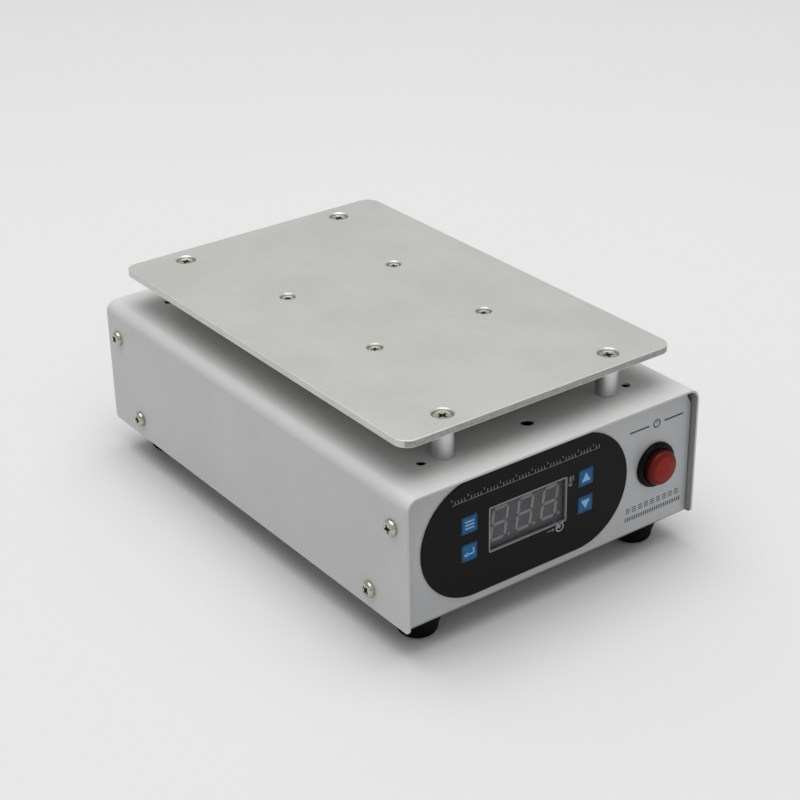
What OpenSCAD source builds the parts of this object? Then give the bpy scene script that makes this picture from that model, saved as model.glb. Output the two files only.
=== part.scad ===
// Bench heating platform: a heated plate on four standoffs above a folded sheet case.
// X runs to the right along the front, Y to the back and Z up from the floor.
// The origin is on the floor below the middle of the case. All sizes are in millimetres.

/* [Case] */
// Outside width of the cover
case_w = 142; // [134:1:170]
// Length of the cover, front edge to back edge
case_l = 217; // [212:1:260]
// Height of the cover's side walls
cover_h = 56; // [55:0.5:75]
// Sheet thickness of the cover
cover_t = 1; // [0.8:0.1:1.5]
// Outside radius of the cover's two long bends
cover_bend_r = 5; // [3:0.5:5.5]
// Rounding of the free corners of the cover's side walls
cover_corner_r = 2; // [1.5:0.5:6]
// How far the cover reaches past the front and back panels
panel_recess = 3; // [2.6:0.1:5]
// Sheet thickness of the tray and its two panels
tray_t = 1; // [0.8:0.1:1.4]
// Outside radius of the tray's bends
tray_bend_r = 2; // [1.6:0.1:3]
// How far the tray's underside lies below the cover's lower edge
tray_drop = 1; // [0.8:0.1:2]
// Gap between the cover and the tray's edges
sheet_gap = 0.3; // [0.2:0.05:0.6]
// Height of the tray's side flanges above its underside
flange_h = 16; // [14:0.5:20]
// Distance from each panel's face to the ends of the tray's side flanges
flange_inset = 13.5; // [12:0.5:20]
// Height of the fixing tabs folded back from the two panels
tab_h = 26; // [20:1:30]
// Depth of the fixing tabs, measured from the panel's face
tab_d = 12; // [11:0.5:16]
// Width cut off each upper corner of the panels
notch_w = 3.5; // [3:0.5:4]
// Height cut off each upper corner of the panels
notch_h = 6; // [4:0.5:8]
// Width of the relief slits beside every fold
relief = 1; // [0.6:0.1:1.5]

/* [Ventilation] */
// Number of vent slots in each row of the tray's floor
vent_count = 7; // [4:1:9]
// Distance between neighbouring vent slots
vent_pitch = 8; // [7:0.5:9]
// Length of a vent slot
vent_l = 24; // [16:1:26]
// Width of a vent slot
vent_w = 3; // [2:0.5:4]
// Distance of each row of slots from the middle of the tray
vent_y = 62; // [60:1:66]

/* [Feet] */
// Height of a rubber foot
foot_h = 12; // [10:0.5:16]
// Diameter of a foot at its top
foot_top_d = 21; // [18:0.5:24]
// Diameter of a foot just above its rounded lower edge
foot_low_d = 16; // [15:0.5:20]
// Rounding of a foot's lower edge
foot_edge_r = 2.8; // [1:0.1:3.2]
// Distance of the feet's centres from the cover's sides
foot_inset = 16.5; // [14:0.5:20]
// Distance of the front feet's centres from the front panel's face
foot_front_inset = 14; // [13:0.5:20]
// Distance of the rear feet's centres from the back panel's face
foot_rear_inset = 14; // [13:0.5:30]

/* [Plate] */
// Width of the heating plate
plate_w = 130; // [110:1:140]
// Length of the heating plate
plate_l = 200; // [196:1:216]
// Thickness of the heating plate
plate_t = 3; // [2.8:0.1:5]
// Rounding of the plate's corners
plate_r = 6; // [3:0.5:10]
// Chamfer round the plate's upper and lower edges
plate_edge = 0.4; // [0.2:0.1:0.8]
// How far the countersunk screws' heads lie below the plate's face
screw_sink = 0.9; // [0.5:0.1:1]
// How far the plate's centre lies behind the case's centre
plate_y = 1; // [-2:0.5:2]
// Distance between the left and right standoffs
standoff_dx = 80; // [60:1:86]
// Distance between the front and rear standoffs
standoff_dy = 180; // [176:1:186]
// Diameter of a standoff
standoff_d = 9; // [8:0.5:12]
// Height of a standoff
standoff_h = 14; // [12:0.5:20]
// Distance between the left and right clamp screws
clamp_dx = 54; // [40:1:60]
// Distance between the front and rear clamp screws
clamp_dy = 61; // [50:1:90]

/* [Cover Holes] */
// Distance of the outer spare holes in the cover's top from its middle line
spare_x = 50; // [48:1:54]
// Diameter of the outer spare holes
spare_d = 3.8; // [3:0.2:4.4]
// Diameter of the spare hole on the middle line
spare_mid_d = 5.2; // [4:0.2:6]

/* [Heater] */
// Width of the mica heating element and its clamp
heater_w = 96; // [80:1:108]
// Length of the mica heating element and its clamp
heater_l = 150; // [120:1:156]
// Thickness of the heating element
heater_t = 1.6; // [1.2:0.1:2]
// Thickness of the insulating mat under the element
mat_t = 3; // [2:0.5:4]
// Sheet thickness of the clamp
clamp_t = 1; // [0.8:0.1:1.2]
// Depth of the clamp's folded stiffening lips
clamp_lip = 3; // [2.5:0.5:4]

/* [Front Panel] */
// Width of the black keypad, end to end
pad_w = 99.4; // [96:0.2:100]
// Height of the black keypad
pad_h = 49.6; // [46:0.2:50]
// Distance from the cover's left side to the keypad's end
pad_margin = 7.7; // [7:0.1:9]
// Height of the keypad's centre above the cover's lower edge
pad_z = 28.9; // [27.5:0.1:29.5]
// Width of the display window
window_w = 37.6; // [36:0.2:38]
// Height of the display window
window_h = 19.2; // [18:0.2:20]
// Distance from the front panel's face back to the display module's face
module_recess = 1.5; // [1.3:0.1:2.4]
// Side of a square key
key_w = 7.6; // [7:0.1:8]
// Travel of a key when it is pressed
key_travel = 0.3; // [0.2:0.05:0.4]
// Thickness of the printed front label
label_t = 0.3; // [0.2:0.05:0.4]
// How far the label reaches in under the edges of the display window
label_rim = 0.4; // [0.3:0.1:0.8]
// Thickness of the keypad membrane
pad_t = 0.6; // [0.5:0.05:0.8]
// How far a key stands above the membrane
key_proud = 0.25; // [0.2:0.05:0.4]

/* [Power Button] */
// Distance of the button's centre from the cover's right side
button_inset = 19.6; // [19:0.1:20.4]
// Height of the button's centre above the cover's lower edge
button_z = 27.6; // [25:0.2:30]
// Diameter of the button's black bezel
bezel_d = 19; // [18:0.2:20]
// How far the bezel stands above the label
bezel_t = 2; // [1.5:0.1:2.4]
// Diameter of the threaded barrel behind the bezel
barrel_d = 17; // [16.6:0.1:17.4]
// Diameter of the red cap
cap_d = 14.5; // [14:0.1:14.8]
// How far the cap stands above the bezel
cap_proud = 4; // [3.4:0.1:4.4]
// Travel of the cap when it is pressed
cap_travel = 3; // [2:0.1:3.2]
// Gap between the cap and the bezel's bore
cap_gap = 0.25; // [0.2:0.01:0.3]

/* [Power Inlet] */
// Distance of the inlet's centre from the cover's left side
inlet_inset = 39; // [37:1:44]
// Height of the inlet's centre above the cover's lower edge
inlet_z = 29; // [27:0.5:30]
// Distance between the inlet's two fixing screws
inlet_dx = 40; // [39:0.5:41]
// Thickness of the inlet's flange
inlet_flange_t = 3; // [2.8:0.1:3.4]
// Travel of the fuse drawer until it comes free
drawer_travel = 20; // [15:1:21]

/* [Boards] */
// Thickness of the circuit boards
board_t = 1.6; // [1:0.1:2]
// Width of the power board
power_w = 100; // [96:1:104]
// Length of the power board
power_l = 76; // [74:1:80]
// Height of the power board above the tray's floor
power_lift = 6; // [5:0.5:8]
// Width of the display board
display_w = 92; // [90:1:94]
// Height of the display board
display_h = 42; // [38:1:43]

/* [Hidden] */
$fn = 48;
// Running, seating and fitting clearances
fit = 0.05;
slip = 0.2;
// Overlap of a cutting tool past the face that it cuts
over = 1;
// Heights
floor_z = foot_h + tray_t;
cover_z = foot_h + tray_drop;
cover_top = cover_z + cover_h;
cover_in_top = cover_top - cover_t;
plate_z = cover_top + standoff_h;
plate_top = plate_z + plate_t;
// Tray and panels
tray_w = case_w - 2 * cover_t - 2 * sheet_gap;
panel_y = case_l / 2 - panel_recess;
panel_top = cover_in_top - sheet_gap;
tab_top = panel_top - notch_h - 2 * relief;
// Metric screws: shank radius, pan head radius and height, countersunk head radius and depth
m3 = [1.5, 2.8, 2.2, 2.7, 1.4];
m4 = [2, 3.6, 2.6, 3.65, 1.8];
// Side screws: shank radius, head radius, head height, length below the head
side_screw = [1.6, 3.3, 2.2, 7];
flange_l = 2 * (panel_y - flange_inset);
side_upper = [panel_y - tab_d / 2, cover_z + 41.7];
side_lower = [flange_l / 2 - 7, cover_z + 8.4];
// Keypad places, all counted from the cover's lower edge
pad_x = pad_margin + pad_w / 2 - case_w / 2;
pad_zc = cover_z + pad_z;
window_x = pad_x + 0.2;
key_dz = 5.9;
key_zc = pad_zc + 0.4;
key_left_x = pad_x - 27.9;
key_right_x = pad_x + 28.3;
led_x = pad_x + 15.8;
led_r = 1.35;
led_zc = pad_zc - window_h / 2 - led_r - 0.3;
stem_r = 1.75;
// Depths outwards from the front panel's face
pad_u = label_t;
pad_face_u = pad_u + pad_t;
key_back_u = pad_u + key_travel + fit;
key_face_u = pad_face_u + key_proud;
// Display: module and board behind the front panel
module_d = 8;
module_w = window_w - 0.2;
board_u = -module_recess - module_d;
digit_h = 14.2;
digit_w = 8;
digit_pitch = module_w / 3 - 0.3;
digit_slant = 7;
digit_dot_r = 0.65;
segment_w = 1.3;
segment_t = 0.2;
tact_w = 6;
tact_h = 3.5;
// Button
button_x = case_w / 2 - button_inset;
button_zc = cover_z + button_z;
bezel_u = label_t + bezel_t;
cap_u = bezel_u + cap_proud;
cap_h = 4.7;
cap_shoulder_r = 2;
cap_crown = 8;
barrel_l = 13;
cap_stem_r = 4;
cap_stem_u = 1 - barrel_l;
spring_l = 8;
spring_turns = 6;
spring_r = 2.9;
spring_wire_r = 0.3;
base_l = 10;
blade_l = 8;
blade_dz = 4.5;
// Inlet
inlet_x = case_w / 2 - inlet_inset;
inlet_zc = cover_z + inlet_z;
inlet_w = 27;
inlet_h = 31;
inlet_l = 22;
socket_w = 24.4;
socket_h = 17;
socket_dz = 5;
socket_d = 16;
pin_dx = 7;
pin_tip = 2;
pin_tab_l = 8;
drawer_w = 19;
drawer_h = 6.4;
drawer_l = 22;
drawer_dz = -10;
fuse_r = 2.6;
fuse_l = 20;
// Boards
display_back_u = board_u - board_t;
power_z = floor_z + power_lift;
power_top = power_z + board_t;
power_x = -8;
power_yc = 4;
power_back = power_yc + power_l / 2;
terminal_h = 10;
terminal_l = 12;
terminal_pitch = 5;
terminal_y = power_back - terminal_l / 2 - 2;
terminal_z = power_top + 4.5;
// Heater and leads under the plate
heater_z = plate_z - heater_t;
mat_z = heater_z - mat_t;
clamp_z = mat_z - clamp_t;
heater_back = plate_y + heater_l / 2;
grommet_x = 20;
grommet_y = heater_back + 5.5;
grommet_r = 6.5;
grommet_bore_r = 4;
wire_r = 1.2;
probe_wire_r = 0.9;
wire_bend = 3.5;
lead_z = plate_z - wire_r - slip;

// Points along an arc, angles in degrees.
function arc(x, y, r, from, to, n = 6) =
    [for (i = [0:n]) [x + r * cos(from + (to - from) * i / n), y + r * sin(from + (to - from) * i / n)]];

// A direction from one corner of a square-cornered route to the next.
function heading(a, b) = (b - a) / norm(b - a);

// Puts drawings on the front panel: drawn X and Y become X and Z, and up becomes outwards.
module on_front(u = 0) translate([0, -panel_y - u, 0]) rotate([90, 0, 0]) children();

// Puts drawings on the back panel: drawn Y becomes Z, and up becomes outwards.
module on_back(u = 0) translate([0, panel_y + u, 0]) rotate([90, 0, 180]) children();

// Copies to the left and right, mirrored.
module both_sides() {
    children();
    mirror([1, 0, 0]) children();
}

// Copies at the four corners of a rectangle.
module at_corners(dx, dy) for (sx = [-1, 1], sy = [-1, 1])
    translate([sx * dx / 2, sy * dy / 2, 0]) children();

// A rectangle with round corners, built from true circles.
module round_rect(w, h, r) {
    square([w - 2 * r, h], center = true);
    square([w, h - 2 * r], center = true);
    at_corners(w - 2 * r, h - 2 * r) circle(r);
}

// A slab with round corners and a chamfer round its upper and lower edges.
module chamfered_slab(w, l, t, r, c) {
    rim = [[0, 0], [-c, 0], [0, c], [0, t - c], [-c, t]];
    rotate([90, 0, 0]) linear_extrude(l - 2 * r, center = true)
        polygon([[c - w / 2, 0], [w / 2 - c, 0], [w / 2, c], [w / 2, t - c], [w / 2 - c, t],
                 [c - w / 2, t], [-w / 2, t - c], [-w / 2, c]]);
    rotate([90, 0, 90]) linear_extrude(w - 2 * r, center = true)
        polygon([[c - l / 2, 0], [l / 2 - c, 0], [l / 2, c], [l / 2, t - c], [l / 2 - c, t],
                 [c - l / 2, t], [-l / 2, t - c], [-l / 2, c]]);
    at_corners(w - 2 * r, l - 2 * r) rotate_extrude()
        polygon([[0, 0], [r - c, 0], [r, c], [r, t - c], [r - c, t], [0, t]]);
}

// A slot with round ends along Y.
module slot(l, w, h) {
    linear_extrude(h) {
        square([w, l - w], center = true);
        for (s = [-1, 1]) translate([0, s * (l - w) / 2]) circle(w / 2);
    }
}

// A cross recess, its mouth at the origin and its depth downwards.
module cross_recess(size) for (turn = [0, 90]) rotate([90, 0, turn])
    linear_extrude(size * 0.24, center = true)
        polygon([[-size / 2, over], [-size / 2, 0], [-size / 6, -size * 0.42], [size / 6, -size * 0.42],
                 [size / 2, 0], [size / 2, over]]);

// A pan-head screw: the head's seat is at the origin, the head above it and the shank below.
module pan_screw(shank_r, head_r, head_h, length) difference() {
    union() {
        rotate_extrude() polygon(concat([[0, 0], [head_r, 0]],
            arc(head_r - head_h * 0.7, head_h * 0.3, head_h * 0.7, 0, 78), [[0, head_h * 1.02]]));
        translate([0, 0, -length]) cylinder(h = length + fit, r = shank_r);
    }
    translate([0, 0, head_h]) cross_recess(head_r * 1.15);
}

// A countersunk screw: the head's flat top is at the origin.
module flat_screw(shank_r, head_r, head_d, length) difference() {
    union() {
        translate([0, 0, -head_d]) cylinder(h = head_d, r1 = shank_r, r2 = head_r);
        translate([0, 0, -length]) cylinder(h = length - head_d + fit, r = shank_r);
    }
    cross_recess(head_r * 1.2);
}

// The hole for a countersunk screw, its mouth at the origin. The screw's head lies sink below the mouth.
module flat_screw_hole(shank_r, head_r, head_d, depth, sink = 0) {
    mouth_r = shank_r + fit + (head_d + sink) * (head_r + fit - shank_r) / head_d;
    translate([0, 0, -head_d - sink]) cylinder(h = head_d + sink, r1 = shank_r + fit, r2 = mouth_r);
    translate([0, 0, -depth - over]) cylinder(h = depth + over, r = shank_r + slip);
    translate([0, 0, -fit]) cylinder(h = over, r = mouth_r - fit / 2);
}

// A hexagon nut standing on the origin, across corners 2.3 times its thread.
module hex_nut(thread_r, h) difference() {
    cylinder(h = h, r = thread_r * 2.1, $fn = 6);
    translate([0, 0, -over]) cylinder(h = h + 2 * over, r = thread_r + fit);
}

// A round wire along square-cornered points, with a quarter bend at each corner.
module bent_wire(points, r, bend = wire_bend) {
    last = len(points) - 1;
    for (i = [0:last - 1]) {
        a = heading(points[i], points[i + 1]);
        start = points[i] + a * (i == 0 ? 0 : bend);
        end = points[i + 1] - a * (i == last - 1 ? 0 : bend);
        side = abs(a[2]) > 0.5 ? [1, 0, 0] : [0, 0, 1];
        up = cross(a, side);
        multmatrix([[side[0], up[0], a[0], start[0]], [side[1], up[1], a[1], start[1]],
                    [side[2], up[2], a[2], start[2]]]) cylinder(h = norm(end - start), r = r);
    }
    for (i = [1:1:last - 1]) {
        a = heading(points[i - 1], points[i]);
        b = heading(points[i], points[i + 1]);
        n = cross(a, b);
        c = points[i] - a * bend + b * bend;
        multmatrix([[-b[0], a[0], n[0], c[0]], [-b[1], a[1], n[1], c[1]], [-b[2], a[2], n[2], c[2]]])
            rotate_extrude(angle = 90) translate([bend, 0]) circle(r);
    }
}

// Outline of the cover across the case: flat top, round upper corners, open below.
module arch(w, h, r) {
    translate([-w / 2, 0]) square([w, h - r]);
    translate([r - w / 2, 0]) square([w - 2 * r, h]);
    for (s = [-1, 1]) translate([s * (w / 2 - r), h - r]) circle(r);
}

// A scrap that rounds a square corner at the origin.
module corner_scrap(r) difference() {
    translate([-over, -over]) square(r + over);
    translate([r, r]) circle(r);
}

// The two spare holes and the middle hole of one row, through the cover's top.
module spare_row() {
    for (x = [-spare_x, spare_x]) translate([x, 0, 0]) cylinder(h = 2 * over + cover_t, r = spare_d / 2);
    cylinder(h = 2 * over + cover_t, r = spare_mid_d / 2);
}

// The four side screws' places on the right wall, for both walls.
module at_side_screws() both_sides() for (sy = [-1, 1], place = [side_upper, side_lower])
    translate([case_w / 2, sy * place[0], place[1]]) rotate([0, 90, 0]) children();

module cover() color("gainsboro") difference() {
    translate([0, case_l / 2, cover_z]) rotate([90, 0, 0]) linear_extrude(case_l) difference() {
        arch(case_w, cover_h, cover_bend_r);
        translate([0, -over]) arch(case_w - 2 * cover_t, cover_h - cover_t + over, cover_bend_r - cover_t);
    }
    for (s = [-1, 1]) translate([-case_w, s * case_l / 2, cover_z]) rotate([90, 0, 90])
        linear_extrude(2 * case_w) scale([-s, 1, 1]) corner_scrap(cover_corner_r);
    translate([0, plate_y, cover_in_top - over]) {
        for (s = [-1, 1]) translate([0, s * standoff_dy / 2, 0]) spare_row();
        at_corners(standoff_dx, standoff_dy) cylinder(h = cover_t + 2 * over, r = m4[0] + slip);
    }
    translate([grommet_x, grommet_y, cover_in_top - over])
        cylinder(h = cover_t + 2 * over, r = grommet_r - 1.5);
    at_side_screws() translate([0, 0, -cover_t - over])
        cylinder(h = cover_t + 2 * over, r = side_screw[0] + slip);
}

// Outline of the tray from the side: floor and two upright panels.
module channel(l, h, r) {
    translate([-l / 2, r]) square([l, h - r]);
    translate([r - l / 2, 0]) square([l - 2 * r, h]);
    for (s = [-1, 1]) translate([s * (l / 2 - r), r]) circle(r);
}

// A sheet that turns up through a quarter bend: the flat sheet ends at the origin.
module folded_edge(h) {
    translate([0, tray_bend_r]) intersection() {
        difference() {
            circle(tray_bend_r);
            circle(tray_bend_r - tray_t);
        }
        translate([0, -tray_bend_r]) square(tray_bend_r);
    }
    translate([tray_bend_r - tray_t, tray_bend_r]) square([tray_t, h - tray_bend_r]);
}

// What both panels lose at their upper corners.
module panel_notch() both_sides() translate([tray_w / 2, 0, panel_top]) rotate([90, 0, 0])
    linear_extrude(2 * case_l, center = true)
        polygon([[-notch_w, 0], [0, -notch_h], [over, -notch_h], [over, over], [-notch_w, over]]);

// The places of the keys on the keypad.
module at_key(name) translate([name == "set" || name == "enter" ? key_left_x : key_right_x,
                               key_zc + (name == "set" || name == "up" ? key_dz : -key_dz)]) children();

// Holes that go through the front panel and its label; the window's hole is wider in the panel.
module front_holes(window_margin = slip) {
    translate([window_x, pad_zc])
        square([window_w + 2 * window_margin, window_h + 2 * window_margin], center = true);
    for (name = ["set", "enter", "up", "down"]) at_key(name) circle(stem_r + 3 * slip);
    translate([led_x, led_zc]) circle(led_r + 2 * slip);
    translate([button_x, button_zc]) circle(barrel_d / 2 + slip);
}

// Places of the feet.
module at_feet() both_sides() for (y = [foot_front_inset - panel_y, panel_y - foot_rear_inset])
    translate([case_w / 2 - foot_inset, y, 0]) children();

// Places of the power board's standoffs.
module at_power_board() translate([power_x, power_yc, 0]) at_corners(power_w - 10, power_l - 10) children();

// Earth stud on the tray's floor, in front of the inlet's tabs, which end at tab_y.
lead_bend = 2.5;
tab_y = panel_y - inlet_l - pin_tab_l;
earth_back_y = tab_y - 5 * lead_bend;
earth_x = tray_w / 2 - 11.7;
earth_y = earth_back_y - 13;
earth_run_z = floor_z + 14;

module chassis_tray() color("silver") difference() {
    union() {
        difference() {
            translate([0, 0, foot_h]) rotate([90, 0, 90]) linear_extrude(tray_w, center = true) difference() {
                channel(2 * panel_y, panel_top - foot_h, tray_bend_r);
                translate([0, tray_t])
                    channel(2 * (panel_y - tray_t), panel_top - foot_h + over, tray_bend_r - tray_t);
            }
            both_sides() {
                translate([tray_w / 2 - tray_bend_r, -flange_l / 2 - relief, foot_h - over])
                    cube([tray_bend_r + over, flange_l + 2 * relief, tray_t + 2 * over]);
                for (s = [-1, 1]) translate([tray_w / 2 - tray_bend_r, s * panel_y - 2 * tray_bend_r,
                                             tab_top - tab_h - relief])
                    cube([tray_bend_r + over, 4 * tray_bend_r, tab_h + 2 * relief]);
            }
            panel_notch();
        }
        both_sides() {
            translate([tray_w / 2 - tray_bend_r, flange_l / 2, foot_h]) rotate([90, 0, 0])
                linear_extrude(flange_l) folded_edge(flange_h);
            for (s = [-1, 1]) translate([tray_w / 2 - tray_bend_r, s * panel_y, tab_top - tab_h])
                linear_extrude(tab_h) scale([1, -s, 1]) folded_edge(tab_d);
        }
    }
    on_front(-tray_t - over) linear_extrude(tray_t + 2 * over) front_holes();
    on_back(-tray_t - over) translate([inlet_x, inlet_zc, 0]) linear_extrude(tray_t + 2 * over) {
        square([inlet_w + 2 * slip, inlet_h + 2 * slip], center = true);
        for (s = [-1, 1]) translate([s * inlet_dx / 2, 0]) circle(m3[0] + slip);
    }
    translate([0, 0, foot_h - over]) {
        at_feet() cylinder(h = tray_t + 2 * over, r = m4[0] + slip);
        at_power_board() cylinder(h = tray_t + 2 * over, r = m3[0] + slip);
        translate([earth_x, earth_y, 0]) cylinder(h = tray_t + 2 * over, r = m4[0] + fit);
        for (s = [-1, 1], i = [0:vent_count - 1])
            translate([(i - (vent_count - 1) / 2) * vent_pitch, s * vent_y, 0])
                slot(vent_l, vent_w, tray_t + 2 * over);
    }
    at_side_screws() translate([0, 0, -cover_t - sheet_gap - tray_t - over])
        cylinder(h = tray_t + over + sheet_gap, r = side_screw[0] + fit);
}

module front_label() color("lightslategray") on_front() linear_extrude(label_t) difference() {
    half = tray_w / 2 - sheet_gap;
    low = foot_h + tray_bend_r;
    polygon([[-half, low], [half, low], [half, panel_top - notch_h - sheet_gap],
             [half - notch_w, panel_top - sheet_gap], [notch_w - half, panel_top - sheet_gap],
             [-half, panel_top - notch_h - sheet_gap]]);
    front_holes(-label_rim);
}

module stadium(w, h) {
    square([w - h, h], center = true);
    for (s = [-1, 1]) translate([s * (w - h) / 2, 0]) circle(h / 2);
}

module keypad_membrane() color("#1c1c1e") on_front(pad_u) linear_extrude(pad_t) difference() {
    translate([pad_x, pad_zc]) stadium(pad_w, pad_h);
    translate([window_x, pad_zc]) square([window_w + 2 * fit, window_h + 2 * fit], center = true);
    for (name = ["set", "enter", "up", "down"]) at_key(name)
        round_rect(key_w + 2 * slip, key_w + 2 * slip, 1.2);
    translate([led_x, led_zc]) circle(led_r + 2 * fit);
}

module display_window() color("dimgray", 0.5) on_front(pad_u) linear_extrude(pad_t)
    translate([window_x, pad_zc]) square([window_w, window_h], center = true);

module key(name) color("steelblue") on_front(key_back_u) at_key(name)
    chamfered_slab(key_w, key_w, key_face_u - key_back_u, 1, 0.12);

module plunger(name) color("black") on_front(board_u + tact_h - 2 * key_travel) at_key(name)
    cylinder(h = key_back_u - board_u - tact_h + 2 * key_travel, r = stem_r);

module tact_switches() color("dimgray") for (name = ["set", "enter", "up", "down"])
    on_front(board_u) at_key(name) difference() {
        linear_extrude(tact_h) square(tact_w, center = true);
        translate([0, 0, tact_h - 3 * key_travel - slip]) cylinder(h = tact_h, r = stem_r + fit);
    }

module display_module() color("#48484a") on_front(board_u) linear_extrude(module_d)
    translate([window_x, pad_zc]) square([module_w, window_h - 0.2], center = true);

// One bar of a digit between two points, with pointed ends, leaning with the digit.
module bar(a, b) {
    d = (b - a) / norm(b - a);
    n = [-d[1], d[0]];
    gap = 0.35;
    half = segment_w / 2;
    outline = [a + d * gap, a + d * (gap + half) + n * half, b - d * (gap + half) + n * half,
               b - d * gap, b - d * (gap + half) - n * half, a + d * (gap + half) - n * half];
    polygon([for (p = outline) [p[0] + p[1] * tan(digit_slant), p[1]]]);
}

module digit() {
    w = (digit_w - segment_w) / 2;
    h = (digit_h - segment_w) / 2;
    translate([w + segment_w, -h]) circle(digit_dot_r);
    for (y = [-h, 0, h]) bar([-w, y], [w, y]);
    for (x = [-w, w], s = [-1, 1]) bar([x, min(0, s * h)], [x, max(0, s * h)]);
}

module display_segments() color("gray") on_front(-module_recess) linear_extrude(segment_t)
    for (i = [-1:1]) translate([window_x + i * digit_pitch, pad_zc]) digit();

module output_led() color("lightgray") on_front(board_u) translate([led_x, led_zc, 0]) {
    cylinder(h = pad_face_u - board_u - led_r, r = led_r);
    translate([0, 0, pad_face_u - board_u - led_r]) sphere(led_r);
}

// Places of the display board's standoffs, on the front panel.
module at_display_board() translate([pad_x, pad_zc, 0]) at_corners(display_w - 8, display_h - 8) children();

module display_board() color("darkgreen") on_front(display_back_u) linear_extrude(board_t) difference() {
    translate([pad_x, pad_zc]) square([display_w, display_h], center = true);
    at_display_board() circle(m3[0] + slip);
}

module board_standoffs() color("silver") {
    on_front(board_u) at_display_board() difference() {
        cylinder(h = -board_u - tray_t, r = 2.8);
        translate([0, 0, -over]) cylinder(h = 4 + over, r = m3[0] + fit);
    }
    translate([0, 0, floor_z]) at_power_board() difference() {
        cylinder(h = power_lift, r = 3);
        translate([0, 0, -over]) cylinder(h = power_lift + 2 * over, r = m3[0] + fit);
    }
}

module board_screws() color("silver") {
    on_front(display_back_u) at_display_board() rotate([180, 0, 0])
        pan_screw(m3[0], m3[1], m3[2], board_t + 3.5);
    at_power_board() {
        translate([0, 0, power_top]) pan_screw(m3[0], m3[1], m3[2], board_t + 2.5);
        translate([0, 0, foot_h]) rotate([180, 0, 0]) pan_screw(m3[0], m3[1], m3[2] * 0.9, tray_t + 2.5);
    }
}

// Chips and the ribbon's header on the back of the display board.
header_w = 16;
header_h = 6;
header_x = pad_x + 6;
header_zc = pad_zc - 8;
module on_board_back(x, z) on_front(display_back_u) rotate([180, 0, 0]) translate([x, -z, 0]) children();
module display_board_parts() color("#2b2b2d") {
    on_board_back(pad_x - 14, pad_zc + 1) linear_extrude(2.4) square([20, 7.5], center = true);
    on_board_back(pad_x + 22, pad_zc + 8) linear_extrude(2) square([10, 5], center = true);
    on_board_back(header_x, header_zc) linear_extrude(header_h) square([header_w, 6], center = true);
    on_board_back(pad_x - 32, pad_zc - 4) cylinder(h = 8, r = 3.2);
}

// Puts drawings on the power button's axis, up being outwards.
module on_button(u = 0) on_front(u) translate([button_x, button_zc, 0]) children();

module switch_housing() color("#151517") on_button() difference() {
    union() {
        rotate_extrude() polygon(concat([[0, label_t], [bezel_d / 2, label_t]],
            arc(bezel_d / 2 - bezel_t * 0.7, bezel_u - bezel_t * 0.7, bezel_t * 0.7, 0, 90), [[0, bezel_u]]));
        translate([0, 0, -barrel_l]) cylinder(h = barrel_l + label_t, r = barrel_d / 2);
    }
    translate([0, 0, bezel_u - cap_h - cap_travel])
        cylinder(h = cap_h + cap_travel + over, r = cap_d / 2 + cap_gap);
    translate([0, 0, -barrel_l - over]) cylinder(h = barrel_l + 2 * over, r = cap_stem_r + slip);
}

module switch_nut() color("silver") on_button(-tray_t - 3) difference() {
    cylinder(h = 3, r = barrel_d / 2 + 3.5, $fn = 6);
    translate([0, 0, -over]) cylinder(h = 3 + 2 * over, r = barrel_d / 2 + fit);
}

module switch_base() color("#2b2b2d") on_button(-barrel_l) difference() {
    union() {
        translate([0, 0, -base_l]) cylinder(h = base_l, r = barrel_d / 2 - 0.5);
        for (s = [-1, 1]) translate([-2.4, s * blade_dz - 0.4, -base_l - blade_l])
            cube([4.8, 0.8, blade_l + fit]);
    }
    translate([0, 0, cap_stem_u + barrel_l - spring_l]) cylinder(h = spring_l + over, r = cap_stem_r + slip);
}

// The cap's slightly crowned face runs into its round shoulder where both lean by cap_crown degrees.
module power_button() color("firebrick") on_button() {
    cap_base_u = bezel_u - cap_h + cap_travel * 0.3;
    shoulder_x = cap_d / 2 - cap_shoulder_r;
    crown_r = shoulder_x / sin(cap_crown) + cap_shoulder_r;
    shoulder_u = cap_u - crown_r + (crown_r - cap_shoulder_r) * cos(cap_crown);
    rotate_extrude() polygon(concat([[0, cap_base_u], [cap_d / 2, cap_base_u]],
        arc(shoulder_x, shoulder_u, cap_shoulder_r, 0, 90 - cap_crown, 8),
        arc(0, cap_u - crown_r, crown_r, 90 - cap_crown, 90, 3)));
    translate([0, 0, cap_stem_u]) cylinder(h = cap_base_u - cap_stem_u + fit, r = cap_stem_r);
}

// A coil of wire about Z from the origin up, as rings of points joined by quads.
module coil(r, wire, length, turns, steps = 12, sides = 6) {
    rings = turns * steps;
    pitch = (length - 2 * wire) / rings;
    points = [for (i = [0:rings], k = [0:sides - 1])
        [(r + wire * cos(k * 360 / sides)) * cos(i * 360 / steps),
         (r + wire * cos(k * 360 / sides)) * sin(i * 360 / steps),
         wire + i * pitch + wire * sin(k * 360 / sides)]];
    walls = [for (i = [0:rings - 1], k = [0:sides - 1])
        [i * sides + k, (i + 1) * sides + k, (i + 1) * sides + (k + 1) % sides, i * sides + (k + 1) % sides]];
    ends = [[for (k = [0:sides - 1]) k], [for (k = [sides - 1:-1:0]) rings * sides + k]];
    polyhedron(points, concat(walls, ends));
}

module button_spring() color("silver") on_button(cap_stem_u - spring_l + fit)
    coil(spring_r, spring_wire_r, spring_l - 2 * fit, spring_turns);

module power_board() color("darkgreen") difference() {
    translate([power_x, power_yc, power_z]) linear_extrude(board_t) square([power_w, power_l], center = true);
    translate([0, 0, power_z - over]) at_power_board() cylinder(h = board_t + 2 * over, r = m3[0] + slip);
}

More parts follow.
